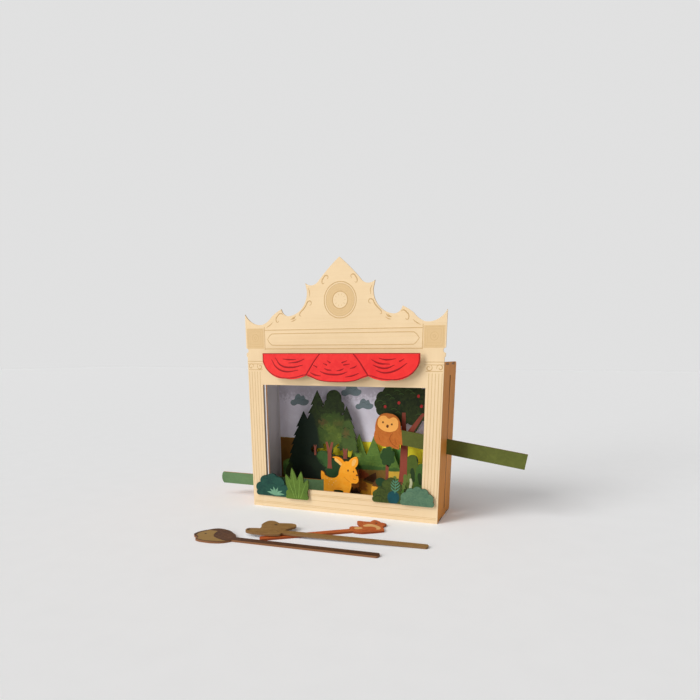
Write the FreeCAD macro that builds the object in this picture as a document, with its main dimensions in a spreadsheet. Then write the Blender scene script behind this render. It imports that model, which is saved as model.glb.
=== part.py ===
import FreeCAD, Part
import math
import os
import Sketcher
from FreeCAD import Vector

# Toy theatre of press-out card: a shallow stage box behind a tall shaped front.
# Lengths are millimetres. X runs to the right of the front, Y to the back, Z up.
# The origin is the middle of the box's underside.

document = FreeCAD.newDocument("toy_theatre")
sheet = document.addObject("Spreadsheet::Sheet", "sizes")

DRIVING_SIZES = {
    # Card stock
    "card": 1.0,
    "flat_card": 0.8,
    "paper_card": 0.5,
    # Stage box
    "front_width": 130.0,
    "box_height": 98.0,
    "box_depth": 40.0,
    "wall_flange": 7.0,
    "wall_corner_radius": 2.0,
    "panel_inset": 0.6,
    "tab_length": 9.0,
    "tab_clearance": 0.15,
    # Slits for the stick puppets
    "slit_width": 3.0,
    "slit_from_front": 21.0,
    "slit_bottom": 5.0,
    "slit_below_top": 8.0,
    # Opening of the front
    "opening_width": 109.0,
    "sill_height": 14.5,
    "lintel_height": 15.0,
    # Outline of the front, each height measured up from the top of the box
    "neck_height": 6.6,
    "neck_radius": 1.5,
    "block_overhang": 0.6,
    "ear_height": 29.0,
    "dip_height": 22.6,
    "dip_from_middle": 53.0,
    "spike_height": 31.6,
    "spike_from_middle": 39.3,
    "valley_height": 27.4,
    "valley_from_middle": 33.6,
    "horn_height": 46.2,
    "horn_from_middle": 22.4,
    "shoulder_height": 47.6,
    "shoulder_from_middle": 13.2,
    "apex_height": 60.0,
    # Curtain, its top measured up from the top of the box
    "curtain_width": 103.0,
    "curtain_height": 5.0,
    "curtain_side_drop": 5.5,
    "curtain_swag_drop": 15.6,
    "curtain_middle_drop": 17.3,
    "curtain_join_drop": 13.4,
    "curtain_join_from_middle": 20.5,
    "curtain_standoff": 3.2,
    "curtain_bow": 1.6,
    "spacer_width": 7.0,
    "spacer_height": 5.0,
    "spacer_from_middle": 38.0,
    "spacer_drop": 7.5,
    # Bushes on the front
    "tongue_width": 7.0,
    "tongue_reach": 3.0,
    "teal_bush_width": 27.0,
    "teal_bush_height": 15.0,
    "teal_bush_left": -61.5,
    "teal_bush_bottom": 8.0,
    "fern_width": 16.0,
    "fern_height": 21.5,
    "fern_left": -38.6,
    "fern_bottom": 7.6,
    "olive_bush_width": 20.5,
    "olive_bush_height": 17.6,
    "olive_bush_left": 23.2,
    "olive_bush_bottom": 10.8,
    "pale_bush_width": 20.4,
    "pale_bush_height": 12.4,
    "pale_bush_left": 42.0,
    "pale_bush_bottom": 10.8,
    # Scenery that drops in through the roof
    "slot_clearance": 0.35,
    "scenery_side_gap": 1.5,
    "foot_width": 8.0,
    "foot_clearance": 0.4,
    "floor_gap": 0.3,
    "backdrop_from_back": 2.2,
    "backdrop_grip_width": 16.0,
    "backdrop_grip_height": 4.5,
    "hedge_from_front": 34.0,
    "hedge_width": 118.0,
    "hedge_height": 24.0,
    "hedge_fir_height": 47.6,
    "hedge_fir_width": 18.0,
    "hedge_fir_from_middle": 1.0,
    "hedge_fir_spacing": 10.8,
    "hedge_tree_from_middle": 21.2,
    "hedge_tree_width": 10.5,
    "hedge_tree_height": 15.0,
    "forest_from_front": 30.0,
    "forest_left": -55.0,
    "forest_width": 58.0,
    "forest_ground": 31.7,
    "forest_low_fir": 62.2,
    "forest_tall_fir": 77.0,
    "forest_right_fir": 66.6,
    "forest_round_tree": 77.5,
    "forest_crown_width": 11.0,
    "forest_bough_width": 28.0,
    "forest_window_height": 9.0,
    "apple_from_front": 26.0,
    "apple_left": 13.0,
    "apple_width": 44.0,
    "apple_crown_bottom": 57.5,
    "apple_crown_height": 26.5,
    "apple_trunk_width": 5.2,
    "apple_trunk_from_left": 22.5,
    "apple_ground_height": 18.0,
    "apple_bush_height": 36.5,
    "apple_bush_width": 7.8,
    # Stick puppets
    "puppet_card": 1.2,
    "fawn_left": -22.2,
    "fawn_bottom": 1.8,
    "fawn_width": 27.6,
    "fawn_height": 33.4,
    "fawn_stick_width": 8.4,
    "fawn_stick_bottom": 8.6,
    "fawn_stick_length": 86.0,
    "owl_middle": 25.8,
    "owl_head_centre": 57.6,
    "owl_head_width": 16.6,
    "owl_head_height": 15.0,
    "owl_body_drop": 14.5,
    "owl_tilt": 8.0,
    "owl_stick_width": 9.6,
    "owl_stick_length": 84.0,
    "owl_stick_drop": 6.4,
    "loose_stick_width": 5.0,
    "hedgehog_width": 27.0,
    "hedgehog_height": 22.5,
    "hedgehog_stick_length": 84.8,
    "hedgehog_stick_height": 5.8,
    "hedgehog_from_middle": -62.5,
    "hedgehog_from_front": 81.6,
    "hedgehog_angle": 2.9,
    "hare_width": 25.4,
    "hare_height": 24.6,
    "hare_stick_length": 80.9,
    "hare_stick_height": 4.2,
    "hare_from_middle": -35.0,
    "hare_from_front": 64.7,
    "hare_angle": 7.0,
    "hare_rest_length": 70.0,
    "fox_width": 24.0,
    "fox_height": 24.0,
    "fox_stick_length": 54.6,
    "fox_stick_height": 4.5,
    "fox_from_middle": 44.0,
    "fox_from_front": 24.8,
    "fox_angle": 36.3,
    "resting_gap": 0.2,
}

for row, (alias, value) in enumerate(DRIVING_SIZES.items(), start=1):
    sheet.set("A%d" % row, alias.replace("_", " "))
    sheet.set("B%d" % row, str(value))
    sheet.setAlias("B%d" % row, alias)
document.recompute()

nodes = []


def size(alias):
    return float(sheet.get(alias))


def cells(expression):
    """Puts the sheet's name before each alias, so that an expression can be written in plain words."""
    words = []
    for word in expression.split():
        name = word.strip("()-")
        words.append(word.replace(name, "sizes." + name) if name in DRIVING_SIZES else word)
    return " ".join(words)


def keep(label, piece):
    piece.Label = label
    nodes.append(piece)
    return piece


# Building blocks

def block(name, x, y, z, length, width, height):
    piece = document.addObject("Part::Box", name)
    piece.setExpression("Length", cells(length))
    piece.setExpression("Width", cells(width))
    piece.setExpression("Height", cells(height))
    piece.setExpression(".Placement.Base.x", cells(x))
    piece.setExpression(".Placement.Base.y", cells(y))
    piece.setExpression(".Placement.Base.z", cells(z))
    return piece


def fuse(name, pieces):
    union = document.addObject("Part::MultiFuse", name)
    union.Shapes = pieces
    union.Refine = True
    return union


def cut(name, base, tools):
    tool = tools[0] if len(tools) == 1 else fuse(name + "_cutters", tools)
    result = document.addObject("Part::Cut", name)
    result.Base = base
    result.Tool = tool
    return result


def outline(points):
    """Closed wire in the XZ plane. A point is (x, z), or (x, z, bow) where an arc leads to it.

    The points run clockwise, seen from the front, and a positive bow bulges outwards by that
    share of the arc's chord.
    """
    edges = []
    for index, point in enumerate(points):
        start = Vector(points[index - 1][0], 0, points[index - 1][1])
        end = Vector(point[0], 0, point[1])
        if len(point) == 2:
            edges.append(Part.makeLine(start, end))
            continue
        along = end - start
        outwards = Vector(-along.z, 0, along.x)
        middle = (start + end) * 0.5 + outwards * point[2]
        edges.append(Part.Arc(start, middle, end).toShape())
    return Part.Wire(edges)


def disc(x, z, radius):
    return Part.Wire(Part.makeCircle(radius, Vector(x, 0, z), Vector(0, 1, 0)))


def rectangle(x, z, width, height):
    return outline([(x, z), (x, z + height), (x + width, z + height), (x + width, z)])


def die_cut(name, shapes, holes, thickness, front):
    """One press-out piece: the shapes joined, the holes cut, and extruded back from its front face."""
    face = Part.Face(shapes[0])
    if len(shapes) > 1:
        face = face.fuse([Part.Face(wire) for wire in shapes[1:]]).removeSplitter()
    if holes:
        face = face.cut([Part.Face(wire) for wire in holes])
    profile = document.addObject("Part::Feature", name + "_profile")
    profile.Shape = face
    piece = document.addObject("Part::Extrusion", name)
    piece.Base = profile
    piece.DirMode = "Custom"
    piece.Dir = Vector(0, 1, 0)
    piece.Solid = True
    piece.setExpression("LengthFwd", cells(thickness))
    piece.setExpression(".Placement.Base.y", cells(front))
    return piece


def sketch_rectangle(sketch, left, bottom, right, top):
    """Rectangle in a sketch, each side at an expression's distance from the sketch's origin."""
    first = sketch.GeometryCount
    corners = [Vector(0, 0, 0), Vector(9, 0, 0), Vector(9, 9, 0), Vector(0, 9, 0)]
    for side in range(4):
        sketch.addGeometry(Part.LineSegment(corners[side], corners[(side + 1) % 4]), False)
    for side in range(4):
        following = first + (side + 1) % 4
        sketch.addConstraint(Sketcher.Constraint("Coincident", first + side, 2, following, 1))
        direction = "Horizontal" if side % 2 == 0 else "Vertical"
        sketch.addConstraint(Sketcher.Constraint(direction, first + side))
    for edge, kind, place in (
        (first, "DistanceX", left),
        (first, "DistanceY", bottom),
        (first + 2, "DistanceX", right),
        (first + 2, "DistanceY", top),
    ):
        number = sketch.addConstraint(Sketcher.Constraint(kind, -1, 1, edge, 1, 9.0))
        sketch.setExpression("Constraints[%d]" % number, cells(place))


def body_sketch(body, name, plane, offset):
    sketch = body.newObject("Sketcher::SketchObject", name)
    origin_plane = [item for item in body.Origin.OriginFeatures if item.Role == plane][0]
    sketch.AttachmentSupport = [(origin_plane, "")]
    sketch.MapMode = "FlatFace"
    sketch.setExpression(".AttachmentOffset.Base.z", cells(offset))
    return sketch


# Places that several pieces share, written as expressions

FRONT_BACK = "( - box_depth / 2 + card )"
BACK_PANEL_FRONT = "( box_depth / 2 - panel_inset - card )"
ROOF_UNDERSIDE = "( box_height - panel_inset - card )"
INNER_HALF_WIDTH = "( front_width / 2 - card )"
SLIT_MIDDLE = "( - box_depth / 2 + slit_from_front )"

HALF_FRONT = size("front_width") / 2
BOX_FRONT = -size("box_depth") / 2
BOX_TOP = size("box_height")
TAB_RISES = ("1 / 4", "3 / 4")


def tab_middle(start, end, share):
    """Expression for the middle of a tab that lies a share of the way along its edge."""
    return "( %s + ( %s - %s ) * %s )" % (start, end, start, share)


def panel_tabs(panel, clearance):
    """The tabs of a panel as blocks that reach through both side walls, or their slots when wider."""
    tabs = []
    grow = "tab_clearance" if clearance else "0"
    for share in TAB_RISES:
        for side in ("left", "right"):
            reach = "card" if not clearance else "card * 3"
            if side == "left":
                x = "- front_width / 2" if not clearance else "- front_width / 2 - card"
            else:
                x = "front_width / 2 - card" if not clearance else "front_width / 2 - card * 2"
            name = "%s_%s_%s_%d" % (panel, "slot" if clearance else "tab", side, len(tabs))
            if panel == "back_wall":
                middle = tab_middle("0", "box_height", share)
                place = (BACK_PANEL_FRONT + " - " + grow, middle + " - tab_length / 2 - " + grow)
                spans = ("card + 2 * " + grow, "tab_length + 2 * " + grow)
            else:
                middle = tab_middle(FRONT_BACK, BACK_PANEL_FRONT, share)
                underside = "0" if panel == "base_panel" else ROOF_UNDERSIDE
                place = (middle + " - tab_length / 2 - " + grow, underside + " - " + grow)
                spans = ("tab_length + 2 * " + grow, "card + 2 * " + grow)
            tabs.append(block(name, x, place[0], place[1], reach, spans[0], spans[1]))
    return tabs


# Side walls: an L-shaped folded panel with the puppet slit, two rounded back corners and tab slots

def side_wall(label, is_left):
    body = document.addObject("PartDesign::Body", label + "_body")
    outer_offset = "- front_width / 2" if is_left else "front_width / 2 - card"
    face = body_sketch(body, label + "_face", "YZ_Plane", outer_offset)
    sketch_rectangle(face, FRONT_BACK, "0", "box_depth / 2", "box_height")
    slit_front = SLIT_MIDDLE + " - slit_width / 2"
    slit_back = SLIT_MIDDLE + " + slit_width / 2"
    sketch_rectangle(face, slit_front, "slit_bottom", slit_back, "box_height - slit_below_top")
    wall = body.newObject("PartDesign::Pad", label + "_pad")
    wall.Profile = face
    wall.setExpression("Length", "sizes.card")

    fold = body_sketch(body, label + "_fold", "XY_Plane", "0")
    inner = "- front_width / 2 + wall_flange" if is_left else "front_width / 2"
    outer = "- front_width / 2" if is_left else "front_width / 2 - wall_flange"
    sketch_rectangle(fold, outer, FRONT_BACK, inner, FRONT_BACK + " + card")
    flange = body.newObject("PartDesign::Pad", label + "_flange")
    flange.Profile = fold
    flange.setExpression("Length", "sizes.box_height")
    document.recompute()

    back = size("box_depth") / 2
    corners = []
    for index, edge in enumerate(body.Shape.Edges, start=1):
        middle = edge.CenterOfMass
        at_end = min(abs(middle.z), abs(middle.z - size("box_height"))) < 1e-6
        if abs(middle.y - back) < 1e-6 and at_end:
            corners.append("Edge%d" % index)
    rounding = body.newObject("PartDesign::Fillet", label + "_rounding")
    rounding.Base = (flange, corners)
    rounding.setExpression("Radius", "sizes.wall_corner_radius")
    body.Tip = rounding

    slots = []
    for panel in ("base_panel", "roof_panel", "back_wall"):
        slots += [tab for tab in wall_slots[panel] if ("left" in tab.Name) == is_left]
    return keep(label, cut(label, body, slots))


wall_slots = {panel: panel_tabs(panel, True) for panel in ("base_panel", "roof_panel", "back_wall")}
side_wall("left_wall", True)
side_wall("right_wall", False)


# Panels between the side walls, each with four tabs that sit in the walls' slots

def level_panel(label, underside, openings):
    """Floor or roof: notched at the front for the walls' flanges, with slots for the scenery."""
    blank = block(
        label + "_blank",
        "-" + INNER_HALF_WIDTH,
        FRONT_BACK,
        underside,
        INNER_HALF_WIDTH + " * 2",
        BACK_PANEL_FRONT + " - " + FRONT_BACK,
        "card",
    )
    notches = []
    right_notch = "front_width / 2 - wall_flange - tab_clearance"
    for side, x in (("left", "- front_width / 2"), ("right", right_notch)):
        notch = block(
            "%s_notch_%s" % (label, side),
            x,
            FRONT_BACK + " - card",
            underside + " - card",
            "wall_flange + tab_clearance",
            "card * 2 + tab_clearance",
            "card * 3",
        )
        notches.append(notch)
    tabbed = fuse(label + "_tabbed", [blank] + panel_tabs(label, False))
    return keep(label, cut(label, tabbed, notches + openings))


def scenery_slot(name, from_front, thickness, left, right, underside):
    """A slot through the floor or roof, wider than the scenery card by its clearance all round."""
    return block(
        name,
        left,
        "- box_depth / 2 + %s - slot_clearance" % from_front,
        underside + " - card",
        "( %s ) - ( %s )" % (right, left),
        "%s + 2 * slot_clearance" % thickness,
        "card * 3",
    )


BACKDROP_FROM_FRONT = "( box_depth - backdrop_from_back )"
BACKDROP_HALF = "( " + INNER_HALF_WIDTH + " - scenery_side_gap )"
scenery = {
    "backdrop": (BACKDROP_FROM_FRONT, "paper_card", "-" + BACKDROP_HALF, BACKDROP_HALF),
    "hedge": ("hedge_from_front", "flat_card", "- hedge_width / 2", "hedge_width / 2"),
    "forest": ("forest_from_front", "flat_card", "forest_left", "forest_left + forest_width"),
    "apple": ("apple_from_front", "flat_card", "apple_left", "apple_left + apple_width"),
}
roof_slots = []
floor_slots = []
for name, (from_front, thickness, left, right) in scenery.items():
    wide_left = left + " - slot_clearance"
    wide_right = right + " + slot_clearance"
    roof_slots.append(
        scenery_slot(name + "_roof_slot", from_front, thickness, wide_left, wide_right, ROOF_UNDERSIDE)
    )
    if name == "backdrop":
        continue
    for share in TAB_RISES:
        middle = tab_middle("( " + left + " )", "( " + right + " )", share)
        floor_slots.append(
            scenery_slot(
                name + "_floor_slot_" + share[0],
                from_front,
                thickness,
                middle + " - foot_width / 2 - foot_clearance",
                middle + " + foot_width / 2 + foot_clearance",
                "0",
            )
        )

level_panel("base_panel", "0", floor_slots)
level_panel("roof_panel", ROOF_UNDERSIDE, roof_slots)

back_blank = block(
    "back_wall_blank",
    "-" + INNER_HALF_WIDTH,
    BACK_PANEL_FRONT,
    "panel_inset",
    INNER_HALF_WIDTH + " * 2",
    "card",
    "box_height - 2 * panel_inset",
)
keep("back_wall", fuse("back_wall", [back_blank] + panel_tabs("back_wall", False)))


# Front panel: one side of the outline from the apex to the foot, then its mirror image

def front_outline():
    shoulder = (size("shoulder_from_middle"), BOX_TOP + size("shoulder_height"))
    horn = (size("horn_from_middle"), BOX_TOP + size("horn_height"))
    valley = (size("valley_from_middle"), BOX_TOP + size("valley_height"))
    spike = (size("spike_from_middle"), BOX_TOP + size("spike_height"))
    dip = (size("dip_from_middle"), BOX_TOP + size("dip_height"))
    horn_root = (horn[0] + (shoulder[0] - horn[0]) * 0.11, horn[1] + (valley[1] - horn[1]) * 0.23)
    slope_end = (spike[0] * 0.5 + dip[0] * 0.5, spike[1] * 0.54 + dip[1] * 0.46)
    block_side = HALF_FRONT + size("block_overhang")
    neck = BOX_TOP + size("neck_height")
    radius = size("neck_radius")
    foot_of_cap = BOX_TOP + radius
    right_side = [
        (shoulder[0], shoulder[1], 0.02),
        (horn[0], horn[1], -0.22),
        (horn_root[0], horn_root[1]),
        (valley[0], valley[1], -0.2),
        (spike[0], spike[1], -0.2),
        (slope_end[0], slope_end[1], 0.03),
        (dip[0], dip[1], -0.08),
        (block_side, BOX_TOP + size("ear_height"), -0.16),
        (block_side, neck + radius),
        (block_side, neck - radius, -0.5),
        (block_side, foot_of_cap + radius),
        (HALF_FRONT, foot_of_cap, -0.2),
        (HALF_FRONT, 0.0),
    ]
    left_side = []
    for index in range(len(right_side) - 1, 0, -1):
        bow = right_side[index][2:]
        before = right_side[index - 1]
        left_side.append((-before[0], before[1]) + bow)
    apex_point = (0.0, BOX_TOP + size("apex_height"), right_side[0][2])
    return [(-HALF_FRONT, 0.0)] + left_side + [apex_point] + right_side


sill = size("sill_height")
opening_height = BOX_TOP - size("lintel_height") - sill
opening = rectangle(-size("opening_width") / 2, sill, size("opening_width"), opening_height)
front_blank = die_cut("front_blank", [outline(front_outline())], [opening], "card", "- box_depth / 2")


# Pieces that hang on the front, each with a tongue through the panel

def tongue(name, middle, underside, width, front, clearance):
    """A tongue that reaches from a piece's front through the panel, or the panel's slot for it."""
    grow = "tab_clearance" if clearance else "0"
    return block(
        name,
        "%s - %s / 2 - %s" % (middle, width, grow),
        front,
        "%s - %s" % (underside, grow),
        "%s + 2 * %s" % (width, grow),
        "card + tongue_reach - ( %s + box_depth / 2 )" % front,
        "card + 2 * %s" % grow,
    )


front_slots = []
FRONT_FACE = "( - box_depth / 2 )"
FIRST_LAYER = "( - box_depth / 2 - card )"
SECOND_LAYER = "( - box_depth / 2 - card * 2 )"


def hung_bush(label, prefix, shapes, layer):
    """A bush that lies flat on the front, held by a tongue folded back through a slot."""
    middle = "( %s_left + %s_width / 2 )" % (prefix, prefix)
    underside = "( %s_bottom + %s_height * 3 / 16 )" % (prefix, prefix)
    card = die_cut(label + "_card", shapes, [], "card", layer)
    stem = tongue(label + "_tongue", middle, underside, "tongue_width", layer, False)
    front_slots.append(tongue(label + "_slot", middle, underside, "tongue_width", FRONT_FACE, True))
    return keep(label, fuse(label, [card, stem]))


def scalloped(prefix, lobes):
    """Closed outline on a flat foot. Lobes are (share of width, share of height) with round tops."""
    left = size(prefix + "_left")
    bottom = size(prefix + "_bottom")
    width = size(prefix + "_width")
    height = size(prefix + "_height")
    points = [(left + width * 0.04, bottom)]
    for across, up in lobes:
        points.append((left + width * across, bottom + height * up, 0.3))
    points.append((left + width * 0.97, bottom, 0.3))
    return outline(points)


def leaf(x, z, angle, length, width):
    """Pointed leaf of two arcs, standing on (x, z) and leaning clockwise by an angle."""
    lean = math.radians(angle)
    tip = (x + length * math.sin(lean), z + length * math.cos(lean))
    return outline([(x, z, width / length), (tip[0], tip[1], width / length)])


TEAL_LOBES = ((0.0, 0.22), (0.1, 0.62), (0.3, 0.93), (0.58, 0.88), (0.78, 0.55), (0.93, 0.25))
OLIVE_LOBES = ((0.0, 0.2), (0.12, 0.45), (0.3, 0.58), (0.42, 0.84), (0.72, 0.84), (0.86, 0.4))
PALE_LOBES = ((0.0, 0.28), (0.14, 0.66), (0.36, 0.86), (0.62, 0.88), (0.84, 0.66), (0.98, 0.28))

hung_bush(
    "left_bush",
    "teal_bush",
    [scalloped("teal_bush", TEAL_LOBES)],
    FIRST_LAYER,
)

fern_foot = size("fern_left") + size("fern_width") * 0.55
fern_leaves = [scalloped("fern", ((0.02, 0.12), (0.16, 0.3), (0.84, 0.3), (0.98, 0.14)))]
for angle, share in ((-22, 0.78), (-9, 1.0), (6, 0.9), (21, 0.66)):
    fern_length = size("fern_height") * share / math.cos(math.radians(angle))
    foot_x = fern_foot + angle * size("fern_width") * 0.006
    fern_leaves.append(leaf(foot_x, size("fern_bottom"), angle, fern_length, size("fern_width") * 0.16))
hung_bush("left_fern", "fern", fern_leaves, SECOND_LAYER)

hung_bush(
    "right_bush",
    "olive_bush",
    [scalloped("olive_bush", OLIVE_LOBES)],
    FIRST_LAYER,
)
hung_bush(
    "right_bush_pale",
    "pale_bush",
    [scalloped("pale_bush", PALE_LOBES)],
    SECOND_LAYER,
)


# Curtain: one card with three swags, bowed forwards over two spacers

def curtain_outline():
    half = size("curtain_width") / 2
    top = BOX_TOP + size("curtain_height")
    side = top - size("curtain_side_drop")
    join = (size("curtain_join_from_middle"), top - size("curtain_join_drop"))
    lowest = top - size("curtain_swag_drop")
    bottom = (half * 0.49 + join[0] * 0.49, lowest)
    middle_drop = join[1] - (top - size("curtain_middle_drop"))
    middle_bow = middle_drop / (2 * join[0])
    return outline([
        (-half, top),
        (half, top),
        (half, side, 0.03),
        (bottom[0], bottom[1], 0.17),
        (join[0], join[1], 0.08),
        (-join[0], join[1], middle_bow),
        (-bottom[0], bottom[1], 0.08),
        (-half, side, 0.17),
    ])


half_curtain = size("curtain_width") / 2
bow = size("curtain_bow")
bend_radius = (half_curtain ** 2 + bow ** 2) / (2 * bow)
curtain_back = BOX_FRONT - size("curtain_standoff")
bend_axis = Vector(0, curtain_back - bow + bend_radius, 0)
bend_height = BOX_TOP + size("curtain_height") * 2
inside_bend = Part.makeCylinder(bend_radius, bend_height, bend_axis)
outside_bend = Part.makeCylinder(bend_radius + size("card"), bend_height, bend_axis)
bent_sheet = outside_bend.cut(inside_bend)
curtain_blank = Part.Face(curtain_outline()).extrude(Vector(0, BOX_FRONT, 0))
curtain_blank.translate(Vector(0, BOX_FRONT, 0))
curtain = document.addObject("Part::Feature", "curtain_swag")
curtain.Shape = curtain_blank.common(bent_sheet)
keep("curtain_swag", curtain)

behind_curtain = document.addObject("Part::Feature", "behind_curtain")
behind_curtain.Shape = inside_bend
for side, sign in (("left", "-"), ("right", "")):
    label = "curtain_spacer_" + side
    middle = "( %s spacer_from_middle )" % sign
    top = "( box_height + curtain_height - spacer_drop )"
    pad = block(
        label + "_pad",
        middle + " - spacer_width / 2",
        "- box_depth / 2 - curtain_standoff - curtain_bow",
        top + " - spacer_height",
        "spacer_width",
        "curtain_standoff + curtain_bow",
        "spacer_height",
    )
    fitted = document.addObject("Part::Common", label + "_fitted")
    fitted.Base = pad
    fitted.Tool = behind_curtain
    underside = "( " + top + " - spacer_height / 2 - card / 2 )"
    width = "( spacer_width - card )"
    stem = tongue(label + "_tongue", middle, underside, width, FRONT_FACE, False)
    front_slots.append(tongue(label + "_slot", middle, underside, width, FRONT_FACE, True))
    keep(label, fuse(label, [fitted, stem]))

keep("front_panel", cut("front_panel", front_blank, front_slots))


# Scenery flats

FLOOR_TOP = size("card")
STAND = FLOOR_TOP + size("floor_gap")


def feet(left, width):
    """Two feet that drop into the floor's slots."""
    shapes = []
    for share in (0.25, 0.75):
        foot_left = left + width * share - size("foot_width") / 2
        shapes.append(rectangle(foot_left, size("floor_gap"), size("foot_width"), STAND))
    return shapes


def fir(middle, foot, tip, width, tiers):
    """Fir tree: a tall top tier, then equal ones that spread less and less, each with an undercut."""
    rise = (tip - foot) / (tiers + 0.73)
    right = [(middle, tip)]
    for tier in range(1, tiers + 1):
        reach = width / 2 * math.sqrt(tier / tiers)
        low = tip - rise * (tier + 0.73)
        right.append((middle + reach, low))
        if tier < tiers:
            right.append((middle + reach - width * 0.07, low + rise * 0.1))
    left = [(2 * middle - point[0], point[1]) for point in reversed(right)]
    return outline(left + right[1:])


def mound(left, foot, width, top):
    """Bush with upright sides and a half-round top."""
    shoulder = top - width / 2
    return outline([(left, foot), (left, shoulder), (left + width, shoulder, 0.5), (left + width, foot)])


def figure(points, left, bottom, width, height):
    """Places an outline given in shares of a figure's width and height."""
    placed = []
    for point in points:
        placed.append((left + width * point[0], bottom + height * point[1]) + tuple(point[2:]))
    return outline(placed)


def lobed_crown(left, bottom, width, height, lobes):
    """Round-lobed tree top: equal arcs on an ellipse."""
    points = []
    for lobe in range(lobes):
        turn = -2 * math.pi * lobe / lobes
        x = left + width / 2 + width * 0.45 * math.cos(turn)
        z = bottom + height / 2 + height * 0.46 * math.sin(turn)
        points.append((x, z, 0.24))
    return outline(points)


backdrop_left = -(HALF_FRONT - size("card") - size("scenery_side_gap"))
backdrop_top = BOX_TOP - size("panel_inset")
grip_half = size("backdrop_grip_width") / 2
backdrop_outline = outline([
    (backdrop_left, STAND),
    (backdrop_left, backdrop_top),
    (-grip_half, backdrop_top),
    (-grip_half * 0.75, backdrop_top + size("backdrop_grip_height"), 0.12),
    (grip_half * 0.75, backdrop_top + size("backdrop_grip_height")),
    (grip_half, backdrop_top, 0.12),
    (-backdrop_left, backdrop_top),
    (-backdrop_left, STAND),
])
backdrop_front = "- box_depth / 2 + " + BACKDROP_FROM_FRONT
keep("backdrop_sheet", die_cut("backdrop_sheet", [backdrop_outline], [], "paper_card", backdrop_front))


def hedge_shapes():
    width = size("hedge_width")
    height = size("hedge_height")
    left = -width / 2
    top = STAND + height
    bank = [(left, STAND), (left, top)]
    bumps = 9
    for bump in range(1, bumps):
        bank.append((left + width * bump / bumps, top + height * 0.08 * math.sin(bump * 2.3), 0.16))
    bank += [(left + width, top, 0.16), (left + width, STAND)]
    shapes = [outline(bank)]
    middle = size("hedge_fir_from_middle")
    for share in (1.0, 0.98, 0.92):
        tip = STAND + size("hedge_fir_height") * share
        shapes.append(fir(middle, top - height * 0.04, tip, size("hedge_fir_width"), 1))
        middle += size("hedge_fir_spacing")
    crown = size("hedge_tree_width")
    crown_left = size("hedge_tree_from_middle") - crown / 2
    shapes.append(lobed_crown(crown_left, top, crown, size("hedge_tree_height"), 9))
    return shapes + feet(left, width)


hedge_front = "- box_depth / 2 + hedge_from_front"
keep("hedge_flat", die_cut("hedge_flat", hedge_shapes(), [], "flat_card", hedge_front))


FOREST_BANK = (
    (0.0, 0.0), (0.0, 0.6), (0.25, 0.98, 0.12), (0.6, 1.0, 0.04), (0.9, 0.97, 0.04), (1.0, 0.56, 0.12),
    (1.0, 0.0),
)


def forest_shapes():
    left = size("forest_left")
    width = size("forest_width")
    height = size("forest_ground")
    ground = STAND + height
    low = STAND + size("forest_low_fir")
    tall = STAND + size("forest_tall_fir")
    right = STAND + size("forest_right_fir")
    round_top = STAND + size("forest_round_tree")
    crown = size("forest_crown_width")
    bough = size("forest_bough_width")
    round_middle = left + width * 0.665
    bough_bottom = ground + size("forest_window_height") * 0.35
    bough_height = round_top - crown * 1.2 - bough_bottom
    shapes = [
        figure(FOREST_BANK, left, STAND, width, height),
        fir(left + width * 0.265, STAND + height * 0.77, low, width * 0.455, 5),
        fir(left + width * 0.45, ground - height * 0.04, tall, width * 0.47, 7),
        fir(left + width * 0.828, ground + height * 0.1, right, width * 0.32, 5),
        rectangle(left + width * 0.785, ground - height * 0.1, width * 0.057, height * 0.4),
        disc(round_middle, round_top - crown / 2, crown / 2),
        lobed_crown(round_middle - crown * 0.75, round_top - crown * 1.75, crown * 1.5, crown * 1.3, 9),
        lobed_crown(left + width * 0.62 - bough / 2, bough_bottom, bough, bough_height, 12),
    ]
    return shapes + feet(left, width)


# Gaps between the trunks, in shares of the forest's width and of the gaps' height above the ground

FOREST_WINDOWS = (
    ((0.398, 0.12), (0.372, 0.18), (0.366, 0.55, 0.2), (0.398, 0.66, 0.15)),
    ((0.571, 0.3), (0.5, 0.36), (0.433, 0.18), (0.433, 0.52), (0.53, 0.55), (0.522, 0.92), (0.562, 0.88)),
    (
        (0.64, 0.1), (0.66, 0.62), (0.72, 1.0), (0.742, 0.86), (0.7, 0.62), (0.735, 0.6), (0.745, 0.4),
        (0.775, 0.5), (0.781, 0.06),
    ),
    ((0.847, 0.06), (0.847, 0.5), (0.875, 0.42), (0.908, 0.55), (0.9, 0.06)),
)


def forest_windows():
    left = size("forest_left")
    width = size("forest_width")
    ground = STAND + size("forest_ground")
    height = size("forest_window_height")
    return [figure(points, left, ground, width, height) for points in FOREST_WINDOWS]


forest_front = "- box_depth / 2 + forest_from_front"
keep("forest_flat", die_cut("forest_flat", forest_shapes(), forest_windows(), "flat_card", forest_front))


APPLE_TRUNK = (
    (-0.2, 0.0), (0.0, 0.3, -0.03), (0.1, 0.72), (0.15, 1.0), (0.6, 1.0), (0.72, 0.79), (2.7, 1.0, -0.03),
    (3.15, 1.0), (1.0, 0.71, 0.05), (1.0, 0.3), (1.2, 0.0, -0.03),
)
APPLE_GROUND = (
    (0.0, 0.0), (0.0, 0.6), (0.06, 0.95, 0.08), (0.24, 0.93, 0.3), (0.42, 1.06, 0.12), (0.6, 0.98, 0.12),
    (0.82, 1.1, 0.16), (1.0, 1.0, 0.2), (1.0, 0.0),
)


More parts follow.
